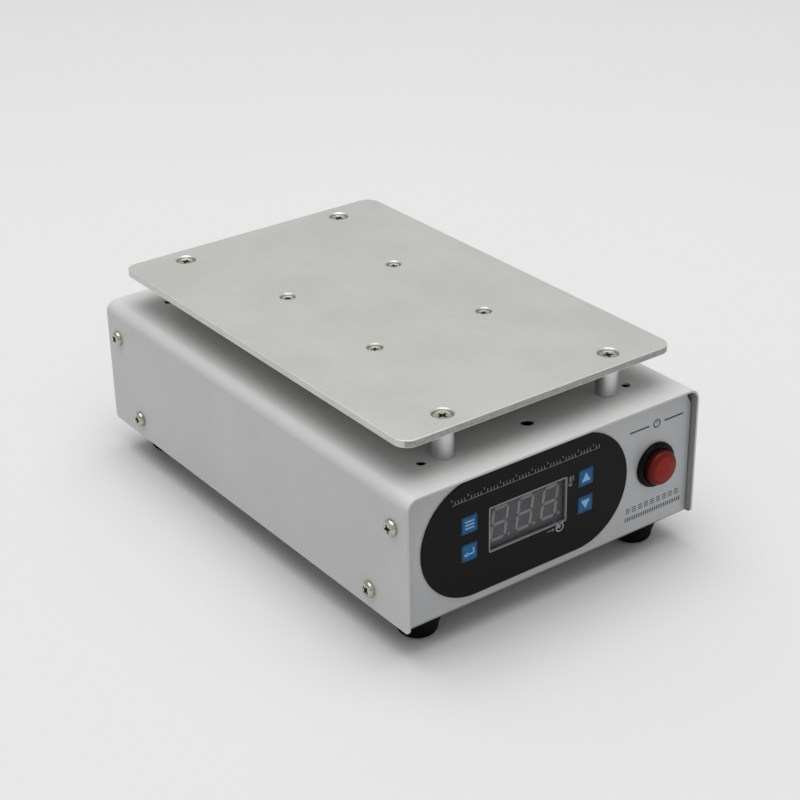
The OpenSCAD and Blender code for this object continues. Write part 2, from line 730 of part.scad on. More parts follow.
// Transformer on the left of the power board: a stack of laminations round a wound bobbin.
core_w = 32;
core_l = 22;
core_h = 27;
core_x = power_x - 27;
core_y = power_yc - 8;
window_core = [7, 15];
module transformer_core() color("dimgray") translate([core_x, core_y, power_top]) rotate([90, 0, 0])
    linear_extrude(core_l * 0.55, center = true) difference() {
        translate([-core_w / 2, 0]) square([core_w, core_h]);
        for (s = [-1, 1]) translate([s * 7.5, core_h / 2]) square(window_core, center = true);
    }

module transformer_coil() color("goldenrod") translate([core_x, core_y, power_top]) difference() {
    translate([0, 0, core_h / 2]) cube([22 - 2 * fit, core_l, window_core[1] - 2 * fit], center = true);
    translate([0, 0, core_h / 2]) cube([8 + 2 * fit, core_l * 0.55 + 2 * fit, core_h], center = true);
    translate([0, 0, core_h / 2]) both_sides() translate([11 + 10, 0, 0])
        cube([20, core_l, core_h], center = true);
}

// Finned heat sink and the triac bolted to it.
sink_x = power_x + 30;
sink_y = power_yc - 4;
sink_l = 40;
sink_h = 26;
sink_base = 3;
fin_count = 6;
fin_l = 13;
fin_t = 1.6;
fin_pitch = (sink_h - fin_t - 1) / (fin_count - 1);
module heat_sink() color("silver") translate([sink_x, sink_y, power_top]) rotate([90, 0, 0])
    linear_extrude(sink_l, center = true) {
        square([sink_base, sink_h]);
        for (i = [0:fin_count - 1]) translate([0, 1 + i * fin_pitch]) square([fin_l, fin_t]);
    }

triac_body = [4.6, 10.2, 9.2];
triac_tab = [1.4, 10.2, 6.6];
triac_leg_l = 4.4;
module triac() color("#2b2b2d") translate([sink_x - triac_body[0] / 2, sink_y, power_top]) {
    translate([0, 0, triac_leg_l + triac_body[2] / 2]) cube(triac_body, center = true);
    translate([(triac_body[0] - triac_tab[0]) / 2, 0, triac_leg_l + triac_body[2] + triac_tab[2] / 2 - fit])
        cube(triac_tab, center = true);
    for (i = [-1:1]) translate([0, i * 2.54, triac_leg_l / 2 + fit])
        cube([0.6, 0.9, triac_leg_l + 2 * fit], center = true);
}

module capacitors() color("midnightblue") translate([power_x, power_yc, power_top]) {
    translate([2, -22, 0]) cylinder(h = 20, r = 6.5);
    translate([-4, 14, 0]) cylinder(h = 12, r = 4);
    translate([8, 14, 0]) cylinder(h = 12, r = 4);
    translate([-6, -4, 6]) cube([6, 13, 12], center = true);
}

// Terminal block below the bush, probe header beside it and a small block for the switch's lead.
terminal_w = 4 * terminal_pitch;
probe_header = [8, 6, 7];
probe_header_x = grommet_x - terminal_w / 2 - probe_header[0];
switched_x = power_x + 30;
switched_y = power_yc - power_l / 2 + 7;
switched_block = [10, 8, 8];
module terminal_block() color("seagreen") {
    translate([grommet_x, terminal_y, power_top]) difference() {
        translate([0, 0, terminal_h / 2]) cube([terminal_w, terminal_l, terminal_h], center = true);
        for (i = [0:3]) translate([(i - 1.5) * terminal_pitch, 0, terminal_h - 2.5])
            cylinder(h = 2.5 + over, r = 1.9);
    }
    translate([probe_header_x, terminal_y, power_top + probe_header[2] / 2])
        cube(probe_header, center = true);
    translate([switched_x, switched_y, power_top + switched_block[2] / 2])
        cube(switched_block, center = true);
}

// The inlet's own frame, on the back panel with up being outwards.
module on_inlet(u = 0) on_back(u) translate([inlet_x, inlet_zc, 0]) children();

module socket_outline() {
    w = socket_w / 2;
    h = socket_h / 2;
    c = 4;
    polygon([[-w, -h], [w, -h], [w, h - c], [w - c, h], [c - w, h], [-w, h - c]]);
}

// The three contact pins' places inside the socket.
module at_pins() translate([0, socket_dz, 0])
    for (p = [[-pin_dx, -2], [0, 2], [pin_dx, -2]]) translate(p) children();

socket_floor_u = inlet_flange_t - socket_d;
module inlet_housing() color("#1a1a1c") on_inlet() difference() {
    union() {
        linear_extrude(inlet_flange_t) {
            round_rect(inlet_w + 4, inlet_h + 4, 2);
            round_rect(inlet_dx + 10, 14, 5);
        }
        translate([0, 0, -inlet_l]) linear_extrude(inlet_l + fit) square([inlet_w, inlet_h], center = true);
    }
    translate([0, socket_dz, socket_floor_u]) linear_extrude(socket_d + over) socket_outline();
    translate([0, drawer_dz, -inlet_l - over]) linear_extrude(inlet_l + inlet_flange_t + 2 * over)
        square([drawer_w + 2 * slip, drawer_h + 2 * slip], center = true);
    at_pins() translate([0, 0, -inlet_l - over]) linear_extrude(inlet_l + socket_floor_u + 2 * over)
        square([2 + 2 * fit, 4 + 2 * fit], center = true);
    for (s = [-1, 1]) translate([s * inlet_dx / 2, 0, inlet_flange_t])
        flat_screw_hole(m3[0], m3[3], m3[4], inlet_flange_t);
}

module inlet_pins() color("gold") on_inlet() at_pins() {
    translate([0, 0, -inlet_l]) linear_extrude(inlet_l + inlet_flange_t - pin_tip)
        square([2, 4], center = true);
    translate([0, 0, -inlet_l - pin_tab_l]) linear_extrude(pin_tab_l + fit) square([0.8, 4], center = true);
}

module inlet_fasteners() color("silver") on_inlet() for (s = [-1, 1]) translate([s * inlet_dx / 2, 0, 0]) {
    translate([0, 0, inlet_flange_t]) flat_screw(m3[0], m3[3], m3[4], inlet_flange_t + tray_t + 4);
    translate([0, 0, -tray_t - 2.4]) hex_nut(m3[0], 2.4);
}

module fuse_drawer() color("#1a1a1c") on_inlet() translate([0, drawer_dz, 0]) difference() {
    union() {
        translate([0, 0, inlet_flange_t + fit]) linear_extrude(1.5)
            round_rect(drawer_w + 3, drawer_h + 1.6, 1);
        translate([0, 0, inlet_flange_t - drawer_l]) linear_extrude(drawer_l + 2 * fit)
            square([drawer_w, drawer_h], center = true);
        translate([0, drawer_h / 2 - 0.4, inlet_flange_t + fit]) linear_extrude(2.3)
            square([9, 1.2], center = true);
    }
    for (s = [-1, 1]) translate([s * 4.7, 0.6, inlet_flange_t - drawer_l + 0.6])
        linear_extrude(fuse_l + 2 * fit) {
            circle(fuse_r + fit);
            translate([-fuse_r - fit, 0]) square([2 * (fuse_r + fit), drawer_h]);
        }
}

module fuses() color("lightgray") on_inlet() for (s = [-1, 1])
    translate([s * 4.7, drawer_dz + 0.6, inlet_flange_t - drawer_l + 0.6 + fit]) {
        cylinder(h = 5, r = fuse_r);
        translate([0, 0, 5 - fit]) cylinder(h = fuse_l - 10 + 2 * fit, r = fuse_r - 0.3);
        translate([0, 0, fuse_l - 5]) cylinder(h = 5, r = fuse_r);
    }

// Places of the clamp screws and of the standoffs, on the plate's centre.
module at_clamp() translate([0, plate_y, 0]) at_corners(clamp_dx, clamp_dy) children();
module at_standoffs() translate([0, plate_y, 0]) at_corners(standoff_dx, standoff_dy) children();

module heating_plate() color("silver") difference() {
    translate([0, plate_y, plate_z]) chamfered_slab(plate_w, plate_l, plate_t, plate_r, plate_edge);
    translate([0, 0, plate_top]) {
        at_clamp() flat_screw_hole(m3[0], m3[3], m3[4], plate_t, screw_sink);
        at_standoffs() flat_screw_hole(m4[0], m4[3], m4[4], plate_t, screw_sink);
    }
}

module heater_element() color("tan") difference() {
    translate([0, plate_y, heater_z]) linear_extrude(heater_t) square([heater_w, heater_l], center = true);
    translate([0, 0, heater_z - over]) at_clamp() cylinder(h = heater_t + 2 * over, r = m3[0] + slip);
}

module insulating_mat() color("ivory") difference() {
    translate([0, plate_y, mat_z]) linear_extrude(mat_t) square([heater_w, heater_l], center = true);
    translate([0, 0, mat_z - over]) at_clamp() cylinder(h = mat_t + 2 * over, r = m3[0] + slip);
}

// A sheet clamp with lips folded down along both long edges.
module heater_clamp() color("silver") difference() {
    translate([0, plate_y, clamp_z + clamp_t]) rotate([90, 0, 0]) linear_extrude(heater_l, center = true)
        mirror([0, 1]) difference() {
            channel(heater_w, clamp_t + clamp_lip, 2 * clamp_t);
            translate([0, clamp_t]) channel(heater_w - 2 * clamp_t, clamp_lip + over, clamp_t);
        }
    translate([0, 0, clamp_z - over]) at_clamp() cylinder(h = clamp_t + 2 * over, r = m3[0] + slip);
}

module clamp_fasteners() color("silver") at_clamp() {
    translate([0, 0, plate_top - screw_sink])
        flat_screw(m3[0], m3[3], m3[4], plate_top - screw_sink - clamp_z + 4);
    translate([0, 0, clamp_z - 2.4]) hex_nut(m3[0], 2.4);
}

module plate_screws() color("silver") translate([0, 0, plate_top - screw_sink]) at_standoffs()
    flat_screw(m4[0], m4[3], m4[4], plate_t - screw_sink + 6);

module standoffs() color("silver") translate([0, 0, cover_top]) at_standoffs() difference() {
    rotate_extrude() polygon([[0, 0], [standoff_d / 2 - 0.3, 0], [standoff_d / 2, 0.3],
        [standoff_d / 2, standoff_h - 0.3], [standoff_d / 2 - 0.3, standoff_h], [0, standoff_h]]);
    translate([0, 0, -over]) cylinder(h = standoff_h + 2 * over, r = m4[0] + fit);
    translate([0, 0, standoff_h - 0.6]) cylinder(h = 0.6 + over, r1 = m4[0] + fit, r2 = m4[0] + 0.6 + over);
}

module standoff_screws() color("silver") translate([0, 0, cover_in_top]) at_standoffs() rotate([180, 0, 0])
    pan_screw(m4[0], m4[1], m4[2], cover_t + 5);

// A rubber bush in the cover's top: a collar on each side of the sheet round a narrower neck.
module wire_grommet() color("#1a1a1c") translate([grommet_x, grommet_y, cover_in_top]) rotate_extrude()
    polygon([[grommet_bore_r, -1.5], [grommet_r - 0.4, -1.5], [grommet_r, -1.1], [grommet_r, -fit],
             [grommet_r - 1.5 - fit, -fit], [grommet_r - 1.5 - fit, cover_t + fit],
             [grommet_r, cover_t + fit], [grommet_r, cover_t + 1.1], [grommet_r - 0.4, cover_t + 1.5],
             [grommet_bore_r, cover_t + 1.5]]);

// Two sleeved leads from the element's rear edge, through the bush, to the terminal block.
module heater_leads() color("white") translate([grommet_x, 0, 0]) for (s = [-1, 1]) bent_wire([
    [s * terminal_pitch / 2, heater_back, lead_z],
    [s * terminal_pitch / 2, grommet_y, lead_z],
    [s * terminal_pitch / 2, grommet_y, terminal_z],
    [s * terminal_pitch / 2, terminal_y + terminal_l / 2, terminal_z]], wire_r);

// A flat probe under the plate behind the heating element, and its lead to the power board.
probe = [12, 5, 2.6];
probe_x = grommet_x - probe[0];
probe_y = grommet_y + 2.6;
probe_z = plate_z - probe[2] / 2;
probe_run_z = power_top + 20;
module temperature_probe() color("silver") translate([probe_x, probe_y, plate_z - probe[2]])
    linear_extrude(probe[2]) round_rect(probe[0], probe[1], 1);

module probe_lead() color("darkkhaki") bent_wire([
    [probe_x + probe[0] / 2, probe_y, probe_z],
    [grommet_x, probe_y, probe_z],
    [grommet_x, probe_y, probe_run_z],
    [grommet_x, terminal_y, probe_run_z],
    [probe_header_x, terminal_y, probe_run_z],
    [probe_header_x, terminal_y, power_top + probe_header[2]]], probe_wire_r, 2.6);

// A flat ribbon from the display board's header back and down to the power board.
ribbon_t = 0.9;
ribbon_bend = 3;
ribbon_y = -panel_y - display_back_u + header_h;
ribbon_back = power_yc - power_l / 2 + 5;
ribbon_drop = header_zc + ribbon_t / 2 - ribbon_bend - power_top;
module ribbon_cable() color("lightgray") translate([header_x - 5, 0, 0]) rotate([90, 0, 90])
    linear_extrude(10) {
    translate([ribbon_y, header_zc - ribbon_t / 2]) square([ribbon_back - ribbon_bend - ribbon_y, ribbon_t]);
    translate([ribbon_back - ribbon_bend, header_zc + ribbon_t / 2 - ribbon_bend]) intersection() {
        difference() {
            circle(ribbon_bend);
            circle(ribbon_bend - ribbon_t);
        }
        square(ribbon_bend);
    }
    translate([ribbon_back - ribbon_t, power_top]) square([ribbon_t, ribbon_drop]);
}

// Mains leads between inlet, switch and board.
pin_z = inlet_zc + socket_dz - 2;
switch_end_y = -panel_y + barrel_l + base_l + blade_l;
live_x = case_w / 2 - 7;
live_z = pin_z + 11;
live_back_y = tab_y - 3 * lead_bend;
live_front_y = switch_end_y + 5 * lead_bend;
module live_lead() color("saddlebrown") bent_wire([
    [-inlet_x - pin_dx, tab_y, pin_z],
    [-inlet_x - pin_dx, live_back_y, pin_z],
    [-inlet_x - pin_dx, live_back_y, live_z],
    [live_x, live_back_y, live_z],
    [live_x, live_front_y, live_z],
    [live_x, live_front_y, button_zc + blade_dz],
    [button_x, live_front_y, button_zc + blade_dz],
    [button_x, switch_end_y, button_zc + blade_dz]], wire_r, lead_bend);

switched_front_y = switch_end_y + 3 * lead_bend;
module switched_lead() color("saddlebrown") bent_wire([
    [button_x, switch_end_y, button_zc - blade_dz],
    [button_x, switched_front_y, button_zc - blade_dz],
    [button_x, switched_front_y, terminal_z],
    [switched_x, switched_front_y, terminal_z],
    [switched_x, switched_y - switched_block[1] / 2, terminal_z]], wire_r, lead_bend);

neutral_y = tab_y - 2 * lead_bend;
module neutral_lead() color("royalblue") bent_wire([
    [-inlet_x + pin_dx, tab_y, pin_z],
    [-inlet_x + pin_dx, neutral_y, pin_z],
    [-inlet_x + pin_dx, neutral_y, terminal_z],
    [grommet_x - 1.5 * terminal_pitch, neutral_y, terminal_z],
    [grommet_x - 1.5 * terminal_pitch, terminal_y + terminal_l / 2, terminal_z]], wire_r, lead_bend);

// The earth lead's ring lies on the floor under the stud's nut, its tongue towards the middle.
ring_t = 0.8;
tongue_x = earth_x - 8;
module earth_lead() color("yellowgreen") {
    bent_wire([
        [-inlet_x, tab_y, pin_z + 4],
        [-inlet_x, earth_back_y, pin_z + 4],
        [tongue_x, earth_back_y, pin_z + 4],
        [tongue_x, earth_back_y, earth_run_z],
        [tongue_x, earth_y, earth_run_z],
        [tongue_x, earth_y, floor_z + ring_t - fit]], wire_r, lead_bend);
    translate([0, 0, floor_z]) linear_extrude(ring_t) difference() {
        union() {
            translate([earth_x, earth_y]) circle(m4[0] + 2);
            translate([tongue_x - 1.5, earth_y - 1.5]) square([earth_x - tongue_x, 3]);
        }
        translate([earth_x, earth_y]) circle(m4[0] + fit);
    }
}

module earth_stud() color("silver") {
    translate([earth_x, earth_y, foot_h]) cylinder(h = 9, r = m4[0]);
    translate([earth_x, earth_y, floor_z + ring_t]) hex_nut(m4[0], 3.2);
}

module rubber_feet() color("#1a1a1c") at_feet() rotate_extrude() polygon(concat(
    [[m4[0] + slip, foot_h / 2], [m4[0] + slip, foot_h], [foot_top_d / 2, foot_h],
     [foot_top_d / 2, foot_h - 1]],
    arc(foot_low_d / 2 - foot_edge_r, foot_edge_r, foot_edge_r, 12, -90, 8),
    [[m4[1] + 0.6, 0], [m4[1] + 0.6, foot_h / 2]]));

module foot_fasteners() color("silver") at_feet() {
    translate([0, 0, foot_h / 2]) rotate([180, 0, 0])
        pan_screw(m4[0], m4[1], m4[2], foot_h / 2 + tray_t + 4.6);
    translate([0, 0, floor_z]) hex_nut(m4[0], 3.2);
}

module cover_screws() color("silver") at_side_screws()
    pan_screw(side_screw[0], side_screw[1], side_screw[2], side_screw[3]);

cover();
chassis_tray();
front_label();
keypad_membrane();
display_window();
key("set");  // key_set
key("enter");  // key_enter
key("up");  // key_up
key("down");  // key_down
plunger("set");  // plunger_set
plunger("enter");  // plunger_enter
plunger("up");  // plunger_up
plunger("down");  // plunger_down
tact_switches();
display_module();
display_segments();
output_led();
display_board();
display_board_parts();
board_standoffs();
board_screws();
switch_housing();
switch_nut();
switch_base();
power_button();
button_spring();
power_board();
transformer_core();
transformer_coil();
heat_sink();
triac();
capacitors();
terminal_block();
inlet_housing();
inlet_pins();
inlet_fasteners();
fuse_drawer();
fuses();
heating_plate();
heater_element();
insulating_mat();
heater_clamp();
clamp_fasteners();
plate_screws();
standoffs();
standoff_screws();
wire_grommet();
heater_leads();
temperature_probe();
probe_lead();
ribbon_cable();
live_lead();
neutral_lead();
switched_lead();
earth_lead();
earth_stud();
rubber_feet();
foot_fasteners();
cover_screws();
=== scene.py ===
"""Looks of a bench heating platform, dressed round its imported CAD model.

A folded sheet case carries a flat hot plate on four round standoffs. The CAD nodes whose shape is
right get a finish each. The pieces whose fine detail shows, such as the cover's eased edges, the
plate, the screws, the keys, the button and the printed marks, are modelled here as by hand and
stand for their CAD nodes. Sizes are in millimetres, and places are in the frame of the CAD model.
"""

import logging
import math
from collections.abc import Callable, Iterable, Sequence
from dataclasses import dataclass, field, replace
from enum import Enum
from functools import cache
from typing import ClassVar

import bmesh
import bpy
from mathutils import Euler, Matrix, Vector


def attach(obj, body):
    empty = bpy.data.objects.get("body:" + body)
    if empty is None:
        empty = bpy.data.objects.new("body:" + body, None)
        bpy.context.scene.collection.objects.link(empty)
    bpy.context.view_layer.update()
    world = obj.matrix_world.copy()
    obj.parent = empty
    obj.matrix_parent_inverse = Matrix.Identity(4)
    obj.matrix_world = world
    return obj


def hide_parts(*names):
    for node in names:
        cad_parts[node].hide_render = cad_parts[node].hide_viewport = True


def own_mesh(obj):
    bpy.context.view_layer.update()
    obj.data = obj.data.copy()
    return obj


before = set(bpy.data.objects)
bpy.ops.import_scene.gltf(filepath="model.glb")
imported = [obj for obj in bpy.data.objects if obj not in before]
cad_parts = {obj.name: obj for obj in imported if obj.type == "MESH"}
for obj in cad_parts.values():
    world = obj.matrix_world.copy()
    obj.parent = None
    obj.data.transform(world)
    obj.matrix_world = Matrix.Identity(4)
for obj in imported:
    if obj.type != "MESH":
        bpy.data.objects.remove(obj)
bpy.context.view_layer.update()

LOG = logging.getLogger("heating_platform")
MM = 0.001

# A face looks along an axis when its normal's share of that axis is above this.
STRAIGHT = 0.99
# Places less than this far apart, in mm, count as one.
TOUCH = 0.01
# How far a cutter reaches past the faces that it opens, in mm.
PAST = 1.0

X, Y, Z = 0, 1, 2
DOWN, UP, BACK = Vector((0, 0, -1)), Vector((0, 0, 1)), Vector((0, 1, 0))
UNTURNED = (0.0, 0.0, 0.0)

Place = Sequence[float]
Pair = tuple[float, float]
Test = Callable[[Vector, Vector], bool]
Element = bmesh.types.BMFace | bmesh.types.BMEdge


def mm(*values: float) -> Vector:
    """Turns a place in millimetres into metres."""
    return Vector(values) * MM


def at(place: Place, *turns: tuple[float, str]) -> Matrix:
    """Makes the matrix that turns a shape and then moves it.

    Args:
        place: Where the shape's origin goes.
        *turns: Degrees and axis of each turn, the last one done first.

    Returns:
        The matrix.
    """
    made = Matrix.Translation(mm(*place))
    for angle, axis in turns:
        made = made @ Matrix.Rotation(math.radians(angle), 4, axis)
    return made


def facing(way: Vector) -> Test:
    """Makes a test on a face's middle and normal that holds where the face looks one way."""
    return lambda c, n: n.dot(way) > STRAIGHT


def along(axis: int) -> Test:
    """Makes a test on an edge's ends that holds where the edge runs along an axis."""
    return lambda a, b: abs(a[axis] - b[axis]) > TOUCH


def across(axis: int) -> Test:
    """Makes a test on an edge's ends that holds where the edge runs square to an axis."""
    return lambda a, b: abs(a[axis] - b[axis]) < TOUCH


def corners(centre: Place, dx: float, dy: float) -> list[Pair]:
    """Lists the four corners of a rectangle round a centre."""
    return [(centre[0] + sx * dx / 2, centre[1] + sy * dy / 2) for sx in (-1, 1) for sy in (-1, 1)]


def linear(hex_colour: str) -> tuple[float, float, float, float]:
    """Turns an sRGB hex colour into the linear colour that a shader takes.

    Args:
        hex_colour: Six hex digits after a hash sign.

    Returns:
        Red, green, blue and a full alpha.
    """
    parts = [int(hex_colour[i:i + 2], 16) / 255 for i in (1, 3, 5)]
    return (*[p / 12.92 if p <= 0.04045 else ((p + 0.055) / 1.055) ** 2.4 for p in parts], 1.0)


def add_node(
    tree: bpy.types.NodeTree,
    kind: str,
    settings: dict[str | int, object] | None = None,
    links: dict[str | int, bpy.types.NodeSocket] | None = None,
) -> bpy.types.Node:
    """Adds one node to a tree.

    Args:
        tree: Tree that gets the node.
        kind: Blender's name of the node's type.
        settings: Values by the name or number of an input, or else by the name of a property.
        links: Sockets that feed the node, by the name or number of an input.

    Returns:
        The new node.
    """
    node = tree.nodes.new(kind)
    for name, value in (settings or {}).items():
        if isinstance(name, str) and name not in node.inputs:
            setattr(node, name, value)
    for name, value in (settings or {}).items():
        if isinstance(name, int) or name in node.inputs:
            node.inputs[name].default_value = value
    for name, socket in (links or {}).items():
        tree.links.new(socket, node.inputs[name])
    return node


class Grain(Enum):
    """How the fine relief of a surface runs."""

    EVEN = "even"
    TURNED = "turned"
    SPANGLED = "spangled"
    WOVEN = "woven"


@dataclass(frozen=True)
class Finish:
    """One surface finish, which becomes a node material on Object coordinates.

    Attributes:
        name: Common name of the material and how its surface was made.
        colour: Main colour, sRGB hex.
        tint: Colour that the mottling drifts to, sRGB hex.
        roughness: Mean roughness.
        metallic: 1 for bare metal, 0 for the rest.
        mottle_mm: Size of the colour patches.
        grain_mm: Size of the fine relief.
        relief_mm: Height of the fine relief.
        spread: How far roughness drifts from its mean, each way.
        stretch: How many times longer the grain is along X, Y and Z.
        grain: How the relief runs.
        specular: Strength of the gloss on what isn't metal.
        shader: More inputs of the Principled shader, by name.
        SMOOTHEST: Lowest roughness that any spot may have.
        RELIEF_SHARE: How much the relief adds to the colour patches.
    """

    name: str
    colour: str
    tint: str
    roughness: float
    metallic: float = 0.0
    mottle_mm: float = 20.0
    grain_mm: float = 0.5
    relief_mm: float = 0.01
    spread: float = 0.05
    stretch: tuple[float, float, float] = (1.0, 1.0, 1.0)
    grain: Grain = Grain.EVEN
    specular: float = 0.5
    shader: tuple[tuple[str, float], ...] = ()

    SMOOTHEST: ClassVar[float] = 0.02
    RELIEF_SHARE: ClassVar[float] = 0.25

    def relief(self, tree: bpy.types.NodeTree, place: bpy.types.NodeSocket) -> bpy.types.NodeSocket:
        """Draws the fine relief.

        Args:
            tree: Tree of the material.
            place: Object coordinates.

        Returns:
            Height from 0 to 1.
        """
        scale = [1 / (self.grain_mm * MM * s) for s in self.stretch]
        mapped = add_node(tree, "ShaderNodeMapping", {"Scale": scale}, {"Vector": place})
        coordinates = {"Vector": mapped.outputs["Vector"]}
        if self.grain is Grain.SPANGLED:
            cells = add_node(tree, "ShaderNodeTexVoronoi", {"Scale": 1.0}, coordinates)
            grey = add_node(tree, "ShaderNodeSeparateColor", {}, {"Color": cells.outputs["Color"]})
            return grey.outputs["Red"]
        if self.grain is Grain.TURNED:
            rings = add_node(tree, "ShaderNodeTexWave",
                             {"bands_direction": "Z", "Scale": 0.5, "Distortion": 1.5,
                              "Detail": 3.0, "Detail Scale": 2.0}, coordinates)
            return rings.outputs["Fac"]
        if self.grain is Grain.WOVEN:
            warp, weft = [
                add_node(tree, "ShaderNodeTexWave",
                         {"bands_direction": direction, "Scale": 0.5, "Distortion": 0.6,
                          "Detail": 1.0}, coordinates) for direction in ("X", "DIAGONAL")]
            crossed = add_node(tree, "ShaderNodeMath", {"operation": "MULTIPLY"},
                               {0: warp.outputs["Fac"], 1: weft.outputs["Fac"]})
            return crossed.outputs["Value"]
        noise = add_node(tree, "ShaderNodeTexNoise",
                         {"Scale": 1.0, "Detail": 3.0, "Roughness": 0.55}, coordinates)
        return noise.outputs["Fac"]

    def share(self, tree: bpy.types.NodeTree, place: bpy.types.NodeSocket,
              height: bpy.types.NodeSocket) -> bpy.types.NodeSocket:
        """Draws where the tint shows, in soft patches.

        Args:
            tree: Tree of the material.
            place: Object coordinates.
            height: Height of the relief.

        Returns:
            Share of the tint, from 0 to 1.
        """
        patches = add_node(tree, "ShaderNodeTexNoise",
                           {"Scale": 1 / (self.mottle_mm * MM), "Detail": 4.0, "Roughness": 0.6},
                           {"Vector": place})
        both = add_node(tree, "ShaderNodeMath",
                        {"operation": "MULTIPLY_ADD", 1: self.RELIEF_SHARE},
                        {0: height, 2: patches.outputs["Fac"]})
        soft = add_node(tree, "ShaderNodeMapRange",
                        {"From Min": 0.42, "From Max": 0.84, "interpolation_type": "SMOOTHSTEP"},
                        {"Value": both.outputs["Value"]})
        return soft.outputs["Result"]

    @cache
    def material(self) -> bpy.types.Material:
        """Makes the material, once.

        Returns:
            The material.
        """
        made = bpy.data.materials.new(self.name)
        made.use_nodes = True
        tree = made.node_tree
        tree.nodes.clear()
        place = add_node(tree, "ShaderNodeTexCoord").outputs["Object"]
        height = self.relief(tree, place)
        tone = add_node(tree, "ShaderNodeMix",
                        {"data_type": "RGBA", 6: linear(self.colour), 7: linear(self.tint)},
                        {0: self.share(tree, place, height)})
        gloss = add_node(tree, "ShaderNodeMapRange",
                         {"To Min": max(self.SMOOTHEST, self.roughness - self.spread),
                          "To Max": self.roughness + self.spread}, {"Value": height})
        bump = add_node(tree, "ShaderNodeBump", {"Distance": self.relief_mm * MM},
                        {"Height": height})
        shader = add_node(
            tree, "ShaderNodeBsdfPrincipled",
            {"Metallic": self.metallic, "Specular IOR Level": self.specular, **dict(self.shader)},
            {"Base Color": tone.outputs[2], "Roughness": gloss.outputs["Result"],
             "Normal": bump.outputs["Normal"]})
        add_node(tree, "ShaderNodeOutputMaterial", {}, {"Surface": shader.outputs["BSDF"]})
        return made


@dataclass(frozen=True)
class StripedFinish(Finish):
    """A finish whose two colours lie in even stripes across one direction.

    Attributes:
        pitch_mm: Distance from one stripe to the next of its colour.
        across: Direction that crosses the stripes.
        width: Share of the pitch that the tint takes.
    """

    pitch_mm: float = 1.0
    across: tuple[float, float, float] = (1.0, 0.0, 0.0)
    width: float = 0.5

    def share(self, tree: bpy.types.NodeTree, place: bpy.types.NodeSocket,
              height: bpy.types.NodeSocket) -> bpy.types.NodeSocket:
        """Draws where the tint shows, in stripes.

        Args:
            tree: Tree of the material.
            place: Object coordinates.
            height: Height of the relief, which stripes don't need.

        Returns:
            Share of the tint, 0 or 1.
        """
        run = add_node(tree, "ShaderNodeVectorMath",
                       {"operation": "DOT_PRODUCT", 1: self.across}, {0: place})
        turns = add_node(tree, "ShaderNodeMath",
                         {"operation": "MULTIPLY", 1: 1 / (self.pitch_mm * MM)},
                         {0: run.outputs["Value"]})
        phase = add_node(tree, "ShaderNodeMath", {"operation": "FRACT"},
                         {0: turns.outputs["Value"]})
        inside = add_node(tree, "ShaderNodeMath", {"operation": "LESS_THAN", 1: self.width},
                          {0: phase.outputs["Value"]})
        return inside.outputs["Value"]


# Grains finer than about 0.2 mm wouldn't show in the picture. So the brush lines, cutter marks,
# mould textures and printing grit below are drawn at 0.2 to 0.5 mm, coarser than they are.

# Polyester powder coat, sprayed and baked: a satin pale grey whose faint orange peel softens the
# reflections. The peel is drawn at 0.9 mm, coarser than the real 0.4 mm, so that it shows.
POWDER_COAT = Finish("baked_powder_coat", "#C1C1C0", "#BBBCBB", 0.47,
                     mottle_mm=45, grain_mm=0.9, relief_mm=0.012)
# The same coat on the inside of the sheet, darker and duller: painted shade inside the folded
# cover.
INNER_PAINTED_SHADE = replace(POWDER_COAT, name="inner_coat_painted_shade", colour="#969797", tint="#8A8B8B",
                    roughness=0.6, mottle_mm=30)
# Galvanised sheet, rolled and dipped: cool grey crystals of slightly different shine.
ZINC_SHEET = Finish("galvanised_sheet", "#ABADAE", "#A0A2A3", 0.44, 1.0, mottle_mm=14,
                    grain_mm=3.5, relief_mm=0.001, spread=0.06, grain=Grain.SPANGLED)
# Rolled aluminium plate with a fine long grain: satin grey with hardly seen streaks along it.
BRUSHED_PLATE = Finish("brushed_aluminium_plate", "#C0C0BD", "#BABAB7", 0.72, 1.0, mottle_mm=38,
                       grain_mm=0.35, relief_mm=0.0035, spread=0.06, stretch=(1.0, 45.0, 1.0))
# The plate's milled ends: speckled by the cutter's marks, and darkened by painted shade.
RIM_END_SHADED = Finish("milled_rim_painted_shade", "#A9A9A6", "#90908D", 0.42, 1.0, mottle_mm=1.6,
                    relief_mm=0.006, spread=0.06)
# The plate's long edges, as the flat bar was rolled: smoother than the milled ends, and brighter by
# painted light.
ROLLED_EDGE_LIT = Finish("rolled_edge_painted_light", "#D3D3D0", "#C9C9C6", 0.42, 1.0, mottle_mm=12,
                     grain_mm=0.4, relief_mm=0.003, stretch=(1.0, 30.0, 1.0))
# Chamfers and the upper countersinks, cut last with a sharp tool: the brightest metal, lightened
# further by a painted highlight, a thin light line.
CHAMFER_HIGHLIGHT = Finish("chamfer_painted_highlight", "#DCDCD9", "#D2D2CF", 0.44, 1.0, mottle_mm=4,
                        relief_mm=0.002)
# The lower half of each countersink: a greyer ring of painted shade, the dark line round the sunk
# head.
SINK_PAINTED_SHADE = Finish("countersink_painted_shade", "#989893", "#83837E", 0.5, 1.0, mottle_mm=2, grain_mm=0.4,
                   relief_mm=0.003, spread=0.06)
# Turned aluminium bar: fine rings round the standoffs.
TURNED_ALUMINIUM = Finish("turned_aluminium", "#DADBDB", "#CFD0D0", 0.33, 1.0, mottle_mm=6,
                          grain_mm=0.35, relief_mm=0.004, grain=Grain.TURNED)
# Natural anodised extrusion: matt pale aluminium with faint lines along the fins.
ANODISED_SINK = Finish("anodised_extrusion", "#AEB1B4", "#A0A3A6", 0.48, 1.0, mottle_mm=8,
                       grain_mm=0.4, relief_mm=0.004, stretch=(1.0, 30.0, 1.0))
